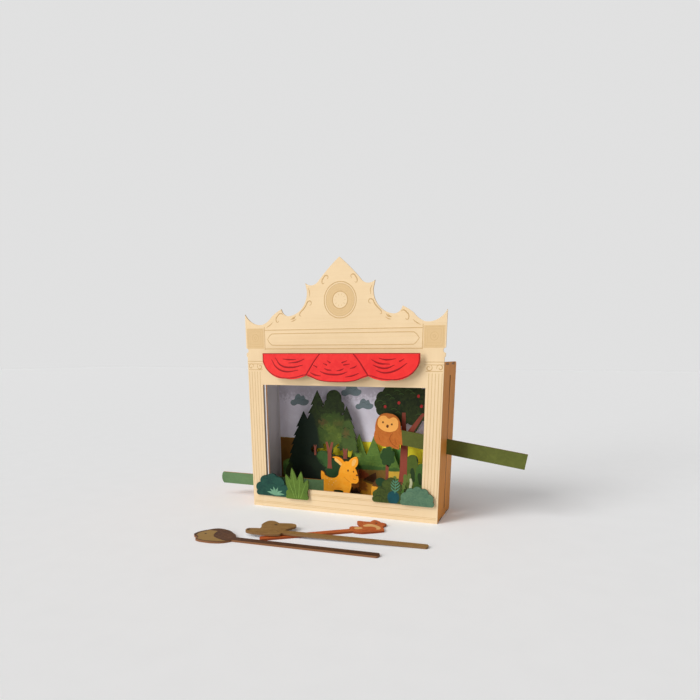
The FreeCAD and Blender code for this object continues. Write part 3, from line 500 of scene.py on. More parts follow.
def draw_front():
    tan_ink = ink("frame line print", paint(204, 168, 116), 0.9)
    soft_ink = ink("soft line print", paint(210, 178, 130), 0.94)
    tan_field = ink("frame field print", paint(216, 184, 136), 0.94)
    pale_field = ink("boss print", paint(230, 204, 164), 0.96)
    place = upright(FRONT)
    ornament = [
        [(8.0, 145.9, 0.5), (7.3, 147.2, 1.0), (8.8, 148.0, 1.3), (10.4, 146.6, 1.4), (11.3, 144.8, 1.2),
         (10.8, 143.4, 0.9), (9.6, 143.9, 0.4)],
        [(19.9, 131.3, 0.4), (18.7, 132.0, 0.9), (19.0, 133.7, 1.2), (20.8, 133.6, 1.3), (22.2, 131.4, 1.4),
         (24.0, 129.2, 1.3), (25.8, 127.6, 1.2), (26.7, 125.9, 1.0), (25.6, 125.1, 0.5)],
        [(20.6, 141.6, 0.5), (19.6, 139.2, 1.1), (19.8, 136.6, 0.5)],
        [(29.3, 125.4, 0.4), (30.9, 124.2, 2.6), (33.0, 123.4, 0.4)],
        [(29.0, 123.6, 0.4), (30.8, 122.6, 1.4), (32.6, 122.2, 0.4)],
        [(38.2, 126.4, 0.4), (39.7, 127.2, 1.2), (41.9, 125.8, 1.4), (43.2, 123.8, 1.2), (42.4, 121.9, 1.0),
         (41.1, 122.7, 0.5)],
        [(45.6, 121.9, 0.4), (47.8, 120.2, 1.2), (50.4, 118.7, 0.4)],
    ]
    lines("pediment_scrolls", both_sides(ornament), 0.48, place, tan_ink, "root")

    rings = [round_points(*ROSETTE, reach, reach, 12) for reach in (10.3, 4.9)]
    lines("rosette_lines", rings, 0.5, place, tan_ink, "root", closed=True)
    faint_rings = [round_points(*ROSETTE, reach, reach, 12) for reach in (9.2, 7.7, 6.2)]
    lines("rosette_faint_lines", faint_rings, 0.34, place, soft_ink, "root", closed=True)
    band = [round_points(*ROSETTE, 9.0, 9.0, 12), round_points(*ROSETTE, 5.2, 5.2, 12)]
    fields("rosette_band", band, place, tan_field, "root")
    fields("rosette_boss", [round_points(*ROSETTE, 4.6, 4.6, 12)], place, pale_field, "root")
    petals = []
    for step in range(10):
        turn = math.pi * step / 5
        near = (ROSETTE[0] + 1.6 * math.cos(turn), ROSETTE[1] + 1.6 * math.sin(turn), 0.4)
        far = (ROSETTE[0] + 3.7 * math.cos(turn), ROSETTE[1] + 3.7 * math.sin(turn), 1.1)
        petals.append([near, far])
    lines("rosette_petals", petals, 0.42, place, soft_ink, "root")

    blocks = [box_points(side * BLOCK_X - 6.2, 105.9, side * BLOCK_X + 6.2, 118.4) for side in (-1, 1)]
    fields("block_fields", blocks, place, tan_field, "root", smooth=False)
    frames = [box_points(side * BLOCK_X - 3.9, 108.6, side * BLOCK_X + 3.9, 116.3) for side in (-1, 1)]
    frames += [box_points(side * BLOCK_X - 5.2, 107.2, side * BLOCK_X + 5.2, 117.6) for side in (-1, 1)]
    lines("block_frames", frames, 0.34, place, tan_ink, "root", closed=True, smooth=False)
    bosses = [round_points(side * BLOCK_X, BLOCK_Z, 2.3, 2.3) for side in (-1, 1)]
    bosses += [round_points(side * BLOCK_X, BLOCK_Z, 0.8, 0.8) for side in (-1, 1)]
    lines("block_bosses", bosses, 0.36, place, tan_ink, "root", closed=True)

    level_lines = [[(-51.6, 117.2), (51.6, 117.2)], [(-51.6, 105.7), (51.6, 105.7)]]
    level_lines += both_sides([[(51.8, 119.2), (51.8, 105.2)]])
    lines("entablature_lines", level_lines, 0.42, place, tan_ink, "root", smooth=False)
    half_panel = [(0.0, 115.0), (44.0, 115.0), (46.6, 114.9), (48.3, 113.6), (49.8, 111.5), (48.3, 109.3)]
    half_panel += [(46.6, 108.0), (44.0, 107.9), (0.0, 107.9)]
    sunk_panel = half_panel + [(-x, z) for x, z in reversed(half_panel[1:-1])]
    lines("entablature_panel", [sunk_panel], 0.42, place, tan_ink, "root", closed=True, smooth=False)

    column = []
    for height in (97.9, 96.3):
        column.append([(53.4, height), (65.0, height)])
    column.append([(54.2, 92.6), (64.4, 92.6)])
    lines("column_lines", both_sides(column), 0.34, place, tan_ink, "root", smooth=False)
    flutes = []
    for x in (56.2, 58.2, 60.2, 62.2, 64.1):
        flutes.append([(x, 91.4), (x - 0.1, 16.0)])
    lines("column_flutes", both_sides(flutes), 0.36, place, soft_ink, "root", smooth=False)
    volutes = [scroll(56.1, 94.6, 2.1, 20), scroll(62.7, 94.6, 2.1, 160)]
    lines("column_volutes", both_sides(volutes), 0.46, place, tan_ink, "root")

    plinth = [[(-52.0, 11.6), (52.0, 11.6)], [(-52.0, 10.7), (52.0, 10.7)], [(-50.0, 7.4), (50.0, 7.4)]]
    plinth += [[(-64.0, 3.4), (64.0, 3.4)], [(-64.0, 2.5), (64.0, 2.5)]]
    lines("plinth_lines", plinth, 0.3, place, soft_ink, "root", smooth=False)


draw_front()


# Curtain, with its folds drawn on the bowed card

CURTAIN_FRONT = -25.8
CURTAIN_RADIUS = 830.5 * MM


def curtain_bow(x):
    """How far the bowed card lies behind its own foremost line, in metres, at x."""
    return CURTAIN_RADIUS - math.sqrt(CURTAIN_RADIUS ** 2 - x ** 2)


def fold(x, z, half, sag, tilt=0.0):
    """One brush stroke for a fold: widest in the middle, and hanging by its sag."""
    points = []
    for share in (-1.0, -0.5, 0.0, 0.5, 1.0):
        width = 1.0 - 0.75 * share * share
        points.append((x + half * share, z - sag * (1 - share * share) + tilt * share, width))
    return points


def draw_curtain():
    cloth = (CURTAIN_RED, paint(222, 38, 40), paint(240, 58, 52))
    # The curtain's cut edge is painted a darker red than its face: painted shade on the card's thickness.
    edge = paint(140, 36, 36)
    dress("curtain_swag", painted_card("curtain print", cloth, dab=6.0, edge=edge, roughness=0.5))
    red_ink = ink("curtain fold print", FOLD_RED, 0.85)
    place = upright(CURTAIN_FRONT)
    left_folds = [
        [(-36.6, 99.5, 0.4), (-31.9, 99.1, 1.0), (-27.2, 99.2, 0.4)],
        [(-32.7, 97.0, 0.4), (-26.4, 97.7, 1.0), (-21.4, 99.5, 0.4)],
        [(-42.1, 100.2, 0.4), (-38.3, 95.7, 1.0), (-30.4, 94.4, 1.1), (-22.6, 95.8, 0.4)],
        [(-44.9, 99.1, 0.4), (-41.5, 94.3, 0.9), (-35.2, 91.8, 1.1), (-25.8, 92.7, 0.4)],
    ]
    middle_folds = [
        [(-6.0, 98.6, 0.4), (-3.8, 97.2, 0.9)], [(-8.6, 96.9, 0.4), (-6.0, 95.9, 0.9)],
        [(3.6, 97.3, 0.9), (7.2, 98.6, 0.4)], [(4.7, 96.0, 0.9), (8.7, 96.6, 0.4)],
        [(-15.4, 95.9, 0.4), (-12.8, 94.5, 0.9)],
        [(-7.9, 93.9, 0.4), (-5.6, 93.0, 0.9), (-3.1, 92.9, 0.4)],
        [(0.3, 92.6, 0.4), (2.8, 93.0, 0.9), (5.0, 93.9, 0.4)],
        [(9.0, 94.0, 0.4), (11.4, 94.6, 0.9), (13.3, 95.7, 0.4)],
        [(-10.9, 92.2, 0.4), (-7.0, 90.8, 1.0), (-2.3, 90.3, 1.1), (3.0, 90.6, 1.0), (7.2, 92.0, 0.4)],
        [(-17.6, 91.4, 0.4), (-14.4, 90.0, 1.0), (-10.2, 89.3, 0.4)],
        [(6.0, 88.9, 0.4), (10.4, 89.7, 1.0), (14.6, 91.2, 0.4)],
    ]
    right_folds = [
        [(22.4, 99.3, 0.4), (27.0, 97.2, 1.1), (33.9, 96.7, 0.4)],
        [(27.2, 100.0, 0.4), (31.8, 99.2, 1.0), (37.3, 99.8, 0.4)],
        [(23.4, 96.2, 0.4), (27.4, 94.7, 1.0), (32.0, 94.4, 1.0), (36.7, 96.2, 0.4)],
        [(25.4, 93.0, 0.4), (30.4, 91.7, 1.0), (38.1, 93.4, 1.1), (44.1, 97.3, 0.4)],
        [(39.4, 98.2, 0.9), (42.3, 99.7, 0.4)],
    ]
    strokes = left_folds + middle_folds + right_folds
    lines("curtain_folds", strokes, 0.9, place, red_ink, "root", bend=curtain_bow)
    seams = both_sides([[(11.0, 102.6, 0.7), (14.6, 98.4, 0.8), (17.8, 93.8, 0.9), (20.4, 90.0, 0.9)]])
    lines("curtain_seams", seams, 0.9, place, red_ink, "root", bend=curtain_bow)
    hem = [(51.1, 102.6), (51.0, 97.6), (47.6, 92.0), (41.0, 88.6), (35.0, 87.7)]
    hem += [(27.5, 88.4), (20.6, 89.9), (12.0, 86.9), (0.0, 86.0)]
    whole = hem + [(-x, z) for x, z in reversed(hem[:-1])]
    top = [(x, 102.75, 0.8) for x in (-51.2, -30.0, 0.0, 30.0, 51.2)]
    lines("curtain_hem", [whole, top], 0.55, place, red_ink, "root", bend=curtain_bow)


draw_curtain()


# Bushes on the front

def draw_bushes():
    teal = (paint(30, 72, 60), paint(22, 58, 52), paint(40, 84, 68))
    dress("left_bush", painted_card("teal bush print", teal, dab=2.6, edge=paint(20, 52, 46)))
    fern = (paint(86, 112, 40), paint(72, 98, 34), paint(102, 128, 50))
    dress("left_fern", painted_card("fern print", fern, dab=2.4, edge=paint(60, 84, 34)))
    olive_patches = [oval(paint(20, 70, 76), 36.6, 14.6, 3.9, 4.4, 0, 0.14)]
    olive = (paint(62, 76, 28), paint(46, 60, 24), paint(80, 94, 36))
    olive_edge = paint(38, 52, 22)
    dress("right_bush", painted_card("olive bush print", olive, olive_patches, dab=2.4, edge=olive_edge))
    pale = (paint(84, 116, 90), paint(72, 104, 82), paint(102, 132, 102))
    dress("right_bush_pale", painted_card("pale bush print", pale, dab=1.6, edge=paint(60, 88, 72)))

    near = upright(-21.0)
    nearer = upright(-22.0)
    pale_ink = ink("pale leaf print", paint(112, 158, 128))
    leaves = []
    for tip in ((-53.6, 10.8), (-51.4, 13.0), (-48.8, 14.6), (-45.4, 14.2), (-42.2, 12.2), (-40.6, 9.8)):
        middle = ((tip[0] - 47.0) / 2, (tip[1] + 8.6) / 2 + 0.5, 2.4)
        leaves.append([(-47.0, 8.8, 1.0), middle, (*tip, 0.3)])
    lines("teal_bush_leaves", leaves, 0.85, near, pale_ink, "root")
    dark_ink = ink("teal shade print", paint(18, 58, 52))
    curls = [fold(-54.0, 18.0, 4.0, -2.2), fold(-46.0, 19.6, 5.0, -2.6), fold(-40.4, 14.4, 3.4, -2.0)]
    curls += [fold(-56.6, 12.6, 3.6, -1.8), fold(-50.0, 15.0, 4.4, -2.0)]
    lines("teal_bush_shade", curls, 0.5, near, dark_ink, "root")
    rib_ink = ink("fern rib print", paint(126, 158, 72))
    ribs = []
    for lean, length in ((-22, 14.5), (-9, 19.0), (6, 17.0), (21, 12.0)):
        angle = math.radians(lean)
        root = (-30.0 + lean * 0.1, 8.6)
        tip = (root[0] + length * math.sin(angle), root[1] + length * math.cos(angle))
        ribs.append([(root[0], root[1], 1.0), (tip[0], tip[1], 0.4)])
    lines("fern_ribs", ribs, 0.42, nearer, rib_ink, "root")
    teal_ink = ink("teal leaf print", paint(84, 138, 112))
    leaves = [[(37.6, 17.6, 1.0), (37.8, 22.0, 0.9), (37.8, 26.6, 0.4)]]
    for height, reach in ((18.6, 3.0), (20.6, 3.1), (22.6, 2.6), (24.4, 1.8)):
        for side in (-1, 1):
            middle = (37.7 + side * reach * 0.55, height + reach * 0.4, 1.5)
            leaves.append([(37.7, height, 0.7), middle, (37.7 + side * reach, height + reach * 0.95, 0.3)])
    lines("olive_bush_leaves", leaves, 0.62, near, teal_ink, "root")
    olive_ink = ink("olive shade print", paint(38, 54, 24))
    curls = [fold(28.4, 18.6, 3.4, -1.8), fold(27.0, 13.6, 3.2, -1.6), fold(41.0, 23.4, 2.4, -1.4)]
    lines("olive_bush_shade", curls, 0.5, near, olive_ink, "root")
    grey_ink = ink("pale shade print", paint(76, 112, 90))
    curls = [fold(47.6, 18.4, 3.2, -1.8), fold(54.0, 19.8, 3.4, -1.8), fold(58.6, 15.4, 2.8, -1.6)]
    curls += [fold(50.4, 14.2, 3.0, -1.5)]
    lines("pale_bush_shade", curls, 0.42, nearer, grey_ink, "root")


draw_bushes()


# Backdrop and scenery, with the y of each printed face

BACKDROP_FRONT = 17.8
HEDGE_FRONT = 14.0
FOREST_FRONT = 10.0
APPLE_TREE_FRONT = 6.0


def cloud(x, z, width):
    """A flat-footed cloud outline."""
    corners = (
        (-0.5, 0.04), (-0.44, 0.18), (-0.3, 0.22), (-0.2, 0.42), (-0.02, 0.5), (0.1, 0.4), (0.22, 0.44),
        (0.33, 0.26), (0.5, 0.18), (0.42, 0.0), (0.2, -0.06), (-0.1, 0.0), (-0.34, -0.08),
    )
    return [(x + width * across, z + width * high) for across, high in corners]


def draw_backdrop():
    sky = (paint(236, 231, 242), paint(222, 217, 230), paint(242, 239, 250))
    patches = [
        # Darker sky towards the top: partly the printed gradient, partly painted shade under the roof.
        oval(paint(200, 194, 206), -30.0, 112.0, 120.0, 40.0, 0, 0.3),
        panel(paint(255, 242, 60), 0.0, 21.0, 80.0, 22.0, 0, 0.4),
        panel(paint(214, 160, 52), 0.0, 10.0, 80.0, 14.0, 0, 0.5),
        # Brown over the left end of the yellow field: painted shade on the left of the stage.
        panel(paint(128, 88, 34), -52.0, 22.0, 17.0, 21.0, 0, 0.4),
        oval(paint(92, 150, 74), 27.4, 22.0, 6.4, 19.2, 0, 0.06),
    ]
    dress("backdrop_sheet", painted_card("backdrop print", sky, patches, dab=9.0, edge=BARE_CARD))
    place = upright(BACKDROP_FRONT)
    cloud_ink = ink("cloud print", paint(124, 140, 144), 0.85)
    curl_ink = ink("cloud curl print", paint(92, 110, 114), 0.9)
    clouds = ((-46.2, 67.6, 14.5), (-6.4, 75.4, 15.0), (3.4, 66.4, 13.0))
    outlines = [cloud(*spot) for spot in clouds]
    fields("backdrop_clouds", outlines, place, cloud_ink, "backdrop")
    curls = []
    for x, z, width in clouds:
        curls.append(fold(x - width * 0.04, z + width * 0.2, width * 0.14, -width * 0.1))
        curls.append(fold(x + width * 0.2, z + width * 0.14, width * 0.12, -width * 0.08))
    lines("cloud_curls", curls, 0.5, place, curl_ink, "backdrop")


draw_backdrop()


def trunk(x, foot, top, width, flare):
    """A tree trunk outline that widens to its foot and to its boughs."""
    half = width / 2
    waist = foot + (top - foot) * 0.62
    return [
        (x - half - flare * 0.3, foot), (x - half, foot + (top - foot) * 0.2), (x - half, waist),
        (x - half - flare, top), (x - half * 0.4 - flare * 0.5, top), (x, waist + (top - waist) * 0.35),
        (x + half * 0.4 + flare * 0.5, top), (x + half + flare, top), (x + half, waist),
        (x + half, foot + (top - foot) * 0.2), (x + half + flare * 0.3, foot),
    ]


def draw_hedge():
    green = (paint(92, 124, 52), paint(74, 106, 44), paint(112, 142, 60))
    patches = [
        oval(paint(66, 98, 44), 0.0, 20.0, 62.0, 7.0, 0, 0.2),
        panel(paint(214, 172, 62), 26.0, 21.4, 6.0, 2.5, 2, 0.5),
        # Painted shade: brown over the left of the far path.
        panel(paint(126, 96, 40), 9.0, 17.4, 12.5, 6.4, 2, 0.8),
        oval(paint(140, 66, 32), 2.0, 20.4, 6.4, 3.4, -10, 0.5),
        panel(paint(252, 182, 58), 9.0, 6.2, 16.0, 7.6, -15.7, 0.6),
        # Painted shade: orange-brown between the orange path and the dark brown below.
        oval(paint(190, 116, 44), 1.6, 12.6, 6.4, 4.2, -18, 0.9),
        # Painted shadow of the fawn: dark brown at the lower left of the path.
        oval(paint(66, 30, 14), -3.6, 5.0, 7.0, 6.0, 0, 0.7),
        # Painted shade: near-black low on the left of the hedge.
        oval(paint(36, 32, 20), -34.0, 8.0, 29.0, 13.0, 0, 0.2),
        # Painted light: the small fir lightened where the forest card shades it.
        oval(paint(128, 166, 74), 0.6, 40.0, 3.2, 8.4, 0, 0.5),
        oval(paint(196, 100, 40), 48.0, 30.0, 6.0, 10.0, 0, 0.2),
    ]
    dress("hedge_flat", painted_card("hedge print", green, patches, dab=3.4, edge=paint(52, 84, 44)))
    place = upright(HEDGE_FRONT)
    dark_ink = ink("round tree print", paint(50, 82, 38), 0.7)
    crown = [scallops(16.4, 26.8, 11.2, 14.4, 7)]
    fields("hedge_tree_crown", crown, place, dark_ink, "hedge", smooth=False)
    brick_ink = ink("hedge trunk print", BRICK)
    shade_ink = ink("path shade print", paint(76, 44, 20), 0.85)
    wedge = [(4.4, 16.6), (8.6, 19.6), (13.6, 22.4), (14.2, 18.4), (14.9, 14.0), (9.4, 15.6)]
    fields("path_shade", [wedge], place, shade_ink, "hedge", smooth=False)
    trunks = [box_points(20.7, 17.4, 22.9, 28.2)]
    fields("hedge_tree_trunk", trunks, place, brick_ink, "hedge", smooth=False)
    light_ink = ink("small fir print", paint(108, 144, 62))
    ribs = []
    for x, tip in ((1.0, 47.6), (11.8, 46.8)):
        for step in range(4):
            high = tip - 3.0 - step * 4.6
            ribs.append(fold(x - 0.6 - step * 0.35, high, 0.9 + step * 0.9, 0.5, 0.25))
    lines("small_fir_boughs", ribs, 0.5, place, light_ink, "hedge")


draw_hedge()


def draw_forest():
    green = (paint(36, 47, 21), paint(24, 34, 16), paint(58, 74, 30))
    patches = [
        oval(paint(60, 80, 32), -17.0, 50.0, 11.5, 13.5, 0, 0.4),
        oval(paint(80, 98, 38), -14.0, 47.0, 8.0, 6.0, 20, 1.2),
        oval(paint(84, 88, 40), -13.0, 56.0, 3.6, 2.2, 10, 2.6),
        oval(paint(92, 108, 42), -19.6, 52.4, 4.0, 2.4, -10, 2.4),
        oval(paint(102, 120, 48), -9.4, 46.4, 3.4, 3.0, 30, 2.4),
        oval(paint(86, 72, 38), -25.4, 56.0, 2.6, 1.8, 0, 2.8),
        oval(paint(72, 92, 42), -4.6, 46.0, 6.4, 13.0, 0, 0.3),
        oval(paint(96, 84, 44), -7.6, 49.6, 1.8, 2.6, 0, 2.8),
        # Painted shade: the left fir darkened.
        oval(paint(20, 34, 22), -40.0, 40.0, 12.0, 26.0, 0, 0.2),
        oval(paint(40, 70, 36), -14.0, 18.6, 13.0, 12.4, 0, 0.14),
        oval(paint(62, 98, 48), -25.2, 29.0, 5.0, 7.4, 0, 0.2),
        # Painted shade: darker towards the lower left of the forest.
        oval(paint(26, 40, 24), -31.6, 17.0, 9.0, 14.0, 0, 0.4),
        oval(paint(18, 28, 18), -40.0, 10.0, 12.0, 16.0, 0, 0.2),
        oval(paint(134, 62, 30), 2.6, 19.6, 3.2, 4.6, 0, 0.4),
        panel(paint(182, 110, 46), 1.4, 12.6, 5.0, 4.0, -12, 0.6),
        # Painted shadow: dark brown at the foot of the forest's right end.
        oval(paint(44, 24, 14), -1.0, 5.0, 6.4, 5.6, 0, 0.9),
    ]
    dress("forest_flat", painted_card("forest print", green, patches, dab=3.6, edge=paint(20, 32, 20)))
    place = upright(FOREST_FRONT)
    brick_ink = ink("forest trunk print", BRICK)
    trunks = [
        trunk(-19.8, 23.6, 42.6, 2.9, 1.6),
        trunk(-30.9, 32.6, 40.0, 1.5, 0.4),
        trunk(-7.9, 31.2, 38.6, 2.8, 0.4),
    ]
    fields("forest_trunks", trunks, place, brick_ink, "forest", smooth=False)
    light_ink = ink("bough light print", paint(88, 112, 46), 0.7)
    strokes = []
    for x, z, half in (
        (-20.0, 60.0, 2.4), (-14.2, 57.0, 2.0), (-22.0, 54.0, 2.4), (-19.0, 48.0, 2.6), (-12.0, 44.6, 2.0),
    ):
        strokes.append(fold(x, z, half, -half * 0.35))
    lines("forest_boughs", strokes, 0.5, place, light_ink, "forest")
    dark_ink = ink("fir shade print", paint(22, 34, 20), 0.8)
    tiers = []
    for x, tip, count, rise in ((-39.6, 63.4, 4, 6.5), (-28.9, 78.9, 4, 5.6), (-7.0, 68.0, 3, 5.5)):
        for step in range(count):
            high = tip - rise * (step + 1.6)
            for side in (-1, 1):
                reach = 1.4 + 1.1 * step
                tiers.append([(x + side * 0.6, high, 0.4), (x + side * reach, high - 0.9 - 0.3 * step, 0.9)])
    lines("fir_tiers", tiers, 0.5, place, dark_ink, "forest")


draw_forest()


def draw_apple_tree():
    green = (paint(40, 50, 22), paint(28, 38, 18), paint(62, 76, 32))
    patches = [
        # Painted shadow: dark brown over the path to the left of the orange.
        panel(paint(96, 60, 26), 16.0, 17.0, 4.0, 8.0, 0, 0.5),
        panel(paint(236, 164, 46), 16.6, 7.0, 5.6, 7.0, -8, 0.5),
        oval(paint(34, 64, 38), 20.4, 18.2, 4.4, 4.2, 0, 0.12),
        oval(paint(80, 98, 38), 41.0, 26.0, 4.6, 14.0, 0, 0.1),
        oval(paint(70, 104, 46), 49.6, 18.0, 6.4, 17.0, 0, 0.15),
        oval(paint(80, 118, 50), 30.0, 12.0, 6.4, 9.0, 0, 0.15),
    ]
    edge = paint(24, 36, 20)
    dress("apple_tree_flat", painted_card("apple tree print", green, patches, dab=3.0, edge=edge))
    place = upright(APPLE_TREE_FRONT)
    brick_ink = ink("apple trunk print", paint(150, 72, 54))
    corners = (
        (-0.2, 0.2), (0.02, 0.4), (0.1, 0.72), (0.15, 1.0), (0.6, 1.0), (0.72, 0.79), (2.7, 1.0),
        (3.15, 1.0), (0.98, 0.71), (0.98, 0.4), (1.04, 0.3), (0.45, 0.2),
    )
    bark = [(32.9 + 5.2 * across, 1.3 + 64.15 * high) for across, high in corners]
    fields("apple_tree_trunk", [bark], place, brick_ink, "apple_tree", smooth=False)
    red_ink = ink("apple print", APPLE_RED)
    apples = [(22.0, 68.9), (31.3, 71.7), (44.3, 76.3), (46.4, 69.9), (51.6, 63.6)]
    spots = [round_points(x, z, 0.95, 1.05) for x, z in apples]
    fields("apples", spots, place, red_ink, "apple_tree")
    leaf_ink = ink("apple leaf print", paint(70, 98, 46), 0.7)
    strokes = []
    for x, z in (
        (18.6, 71.6), (24.0, 75.6), (30.0, 78.4), (37.6, 79.0), (28.0, 66.6), (45.0, 63.6), (51.0, 70.0),
    ):
        strokes.append(fold(x, z, 2.6, -1.3))
        strokes.append(fold(x + 2.8, z - 1.6, 1.8, -0.9))
    lines("apple_tree_leaves", strokes, 0.45, place, leaf_ink, "apple_tree")
    leaf_field = ink("ground leaf print", paint(46, 66, 34), 0.8)
    dark_leaf = [(41.7, 29.1), (43.1, 27.0), (43.5, 23.0), (43.0, 19.4), (41.4, 22.0), (40.3, 26.2)]
    second_leaf = [(46.6, 26.0), (48.2, 22.4), (47.8, 17.6), (46.0, 20.6)]
    fields("ground_leaves", [dark_leaf, second_leaf], place, leaf_field, "apple_tree")
    blade_ink = ink("ground blade print", paint(106, 126, 58), 0.85)
    blades = [
        [(34.6, 14.0), (35.6, 19.0), (37.0, 24.4), (38.0, 20.0), (37.6, 15.0)],
        [(37.9, 14.0), (38.2, 20.0), (40.0, 25.2), (40.3, 20.0), (39.5, 14.0)],
        [(28.6, 14.0), (28.2, 18.6), (29.8, 22.6), (30.8, 18.0), (30.4, 14.0)],
    ]
    fields("ground_blades", blades, place, blade_ink, "apple_tree", level=2)
    pale_ink = ink("ground light print", paint(208, 208, 164), 0.9)
    gap = [(40.6, 21.8), (41.9, 19.6), (41.6, 16.2), (40.6, 13.2), (39.8, 15.6), (40.3, 18.6)]
    fields("ground_light", [gap], place, pale_ink, "apple_tree", level=3)


draw_apple_tree()


# Puppets

PUPPET_FRONT = 0.4


def fawn_point(across, high):
    """Place on the fawn's card, from shares of its width and height."""
    return (-22.2 + 27.6 * across, 1.8 + 33.4 * high)


def draw_fawn():
    coat = (paint(252, 166, 34), paint(246, 152, 26), paint(254, 182, 60))
    stick = [panel(paint(94, 124, 84), -65.4, 9.0, 45.0, 8.6)]
    card = painted_card("fawn print", coat, stick, dab=4.0, edge=paint(168, 96, 20), back=paint(238, 166, 60))
    dress("fawn_puppet", card)
    place = upright(PUPPET_FRONT)
    dark = ink("fawn face print", INK_BROWN)
    marks = [
        round_points(*fawn_point(0.728, 0.7), 0.55, 0.75),
        round_points(*fawn_point(0.872, 0.685), 0.42, 0.6),
        round_points(*fawn_point(0.965, 0.615), 0.85, 0.6),
    ]
    fields("fawn_eyes_and_nose", marks, place, dark, "fawn", level=2)
    smile = [(*fawn_point(0.86, 0.545), 0.6), (*fawn_point(0.9, 0.52), 1.0), (*fawn_point(0.945, 0.53), 0.5)]
    lines("fawn_mouth", [smile], 0.3, place, dark, "fawn")
    pale = ink("fawn pale print", paint(251, 192, 104))
    ears = [
        [fawn_point(*share) for share in ((0.37, 0.93), (0.49, 0.89), (0.56, 0.8), (0.46, 0.84))],
        [fawn_point(*share) for share in ((0.83, 0.87), (0.92, 0.95), (0.9, 0.83), (0.85, 0.8))],
    ]
    fields("fawn_ears", ears, place, pale, "fawn")
    spots = ((0.16, 0.5), (0.22, 0.44), (0.28, 0.48), (0.34, 0.42), (0.2, 0.38), (0.3, 0.37), (0.4, 0.46))
    dots = [round_points(*fawn_point(*spot), 0.42, 0.36, 6) for spot in spots]
    fields("fawn_spots", dots, place, pale, "fawn")
    shade = ink("fawn shade print", paint(222, 126, 20))
    folds = [
        [(*fawn_point(0.34, 0.27), 0.4), (*fawn_point(0.5, 0.31), 1.0), (*fawn_point(0.62, 0.27), 0.4)],
        [(*fawn_point(0.62, 0.56), 0.4), (*fawn_point(0.7, 0.5), 0.9), (*fawn_point(0.8, 0.45), 0.4)],
    ]
    lines("fawn_coat_lines", folds, 0.4, place, shade, "fawn")


draw_fawn()

OWL_PLACE = (
    Matrix.Translation((25.8 * MM, PUPPET_FRONT * MM, 57.6 * MM))
    @ Matrix.Rotation(math.radians(8), 4, "Y")
    @ UP_FRONT
)


def draw_owl():
    feathers = (paint(192, 106, 40), paint(178, 92, 32), paint(206, 124, 54))
    stick = [panel(paint(88, 94, 40), 84.6, 61.4, 50.0, 44.0, 5.2)]
    edge = paint(120, 62, 22)
    card = painted_card("owl print", feathers, stick, dab=2.4, edge=edge, back=paint(190, 112, 52))
    dress("owl_puppet", card)
    pale = ink("owl face print", paint(252, 178, 88), 0.93)
    face = [
        (0.0, 4.2), (-2.8, 5.6), (-5.9, 4.6), (-7.2, 1.2), (-6.4, -1.9), (-3.2, -3.9), (0.0, -4.4),
        (3.2, -3.9), (6.2, -1.9), (6.9, 1.2), (5.6, 4.6), (2.8, 5.6),
    ]
    fields("owl_face", [face], OWL_PLACE, pale, "owl")
    dark = ink("owl eye print", INK_BROWN)
    marks = [round_points(-3.6, 1.2, 0.62, 0.66), round_points(2.5, 0.9, 0.62, 0.66)]
    marks.append([(-0.9, -0.1), (0.5, -0.1), (-0.1, -1.9)])
    fields("owl_eyes_and_beak", marks, OWL_PLACE, dark, "owl", level=2)
    shade = ink("owl wing print", paint(156, 78, 26))
    wings = [
        [(4.2, -4.6, 0.5), (2.6, -8.2, 1.0), (4.6, -11.4, 1.0), (9.2, -13.6, 0.6)],
        [(6.0, -7.6, 0.3), (6.6, -9.6, 0.8), (8.2, -11.4, 0.3)],
        [(-5.4, -6.6, 0.3), (-4.6, -9.6, 0.8), (-2.6, -12.2, 0.3)],
    ]
    lines("owl_wing_lines", wings, 0.42, OWL_PLACE, shade, "owl")


draw_owl()


CARD_THICKNESS = 1.2


def table_place(x, y, angle, rise=0.0, length=0.0):
    """Place of a drawing on a puppet that lies on the table, or rests on another."""
    height = CARD_THICKNESS * math.cos(rise) + length * math.sin(rise)
    return (
        Matrix.Translation((x * MM, y * MM, height * MM))
        @ Matrix.Rotation(math.radians(angle), 4, "Z")
        @ Matrix.Rotation(rise, 4, "Y")
    )


def shares(points, left, width, height):
    """Points given in shares of a figure's width and height, as places on its card."""
    return [(left + width * point[0], height * point[1]) + tuple(point[2:]) for point in points]


def draw_hedgehog():
    brown = (paint(84, 52, 30), paint(70, 42, 24), paint(102, 66, 40))
    card = painted_card("hedgehog print", brown, dab=3.0, facing=(0, 0, 1), edge=paint(132, 90, 58))
    dress("hedgehog_puppet", card)
    place = table_place(-62.5, -101.6, 2.9)
    tan = ink("hedgehog face print", paint(152, 118, 60), 0.9)
    face = shares((
        (0.18, 0.8), (0.39, 0.78), (0.41, 0.6), (0.44, 0.47), (0.51, 0.35), (0.63, 0.26), (0.8, 0.17),
        (0.9, 0.14), (0.73, 0.06), (0.43, 0.03), (0.23, 0.1), (0.2, 0.24), (0.04, 0.4), (0.1, 0.62),
    ), 0.0, 27.0, 22.5)
    fields("hedgehog_face", [face], place, tan, "hedgehog", smooth=False)
    dark = ink("hedgehog eye print", paint(48, 28, 20))
    marks = [round_points(6.2, 11.4, 0.62, 0.7), round_points(1.7, 9.2, 0.8, 0.62)]
    fields("hedgehog_eye_and_nose", marks, place, dark, "hedgehog", level=2)
    spine_ink = ink("hedgehog spine print", paint(140, 102, 72))
    spines = []
    for row in range(4):
        for step in range(5):
            x = 13.4 + row * 3.0
            z = 6.8 + step * 3.1 + (row % 2) * 1.5
            if z < 20.5 - row * 1.1:
                spines.append([(x, z, 0.7), (x + 1.9, z + 0.7, 0.2)])
    lines("hedgehog_spines", spines, 0.46, place, spine_ink, "hedgehog")


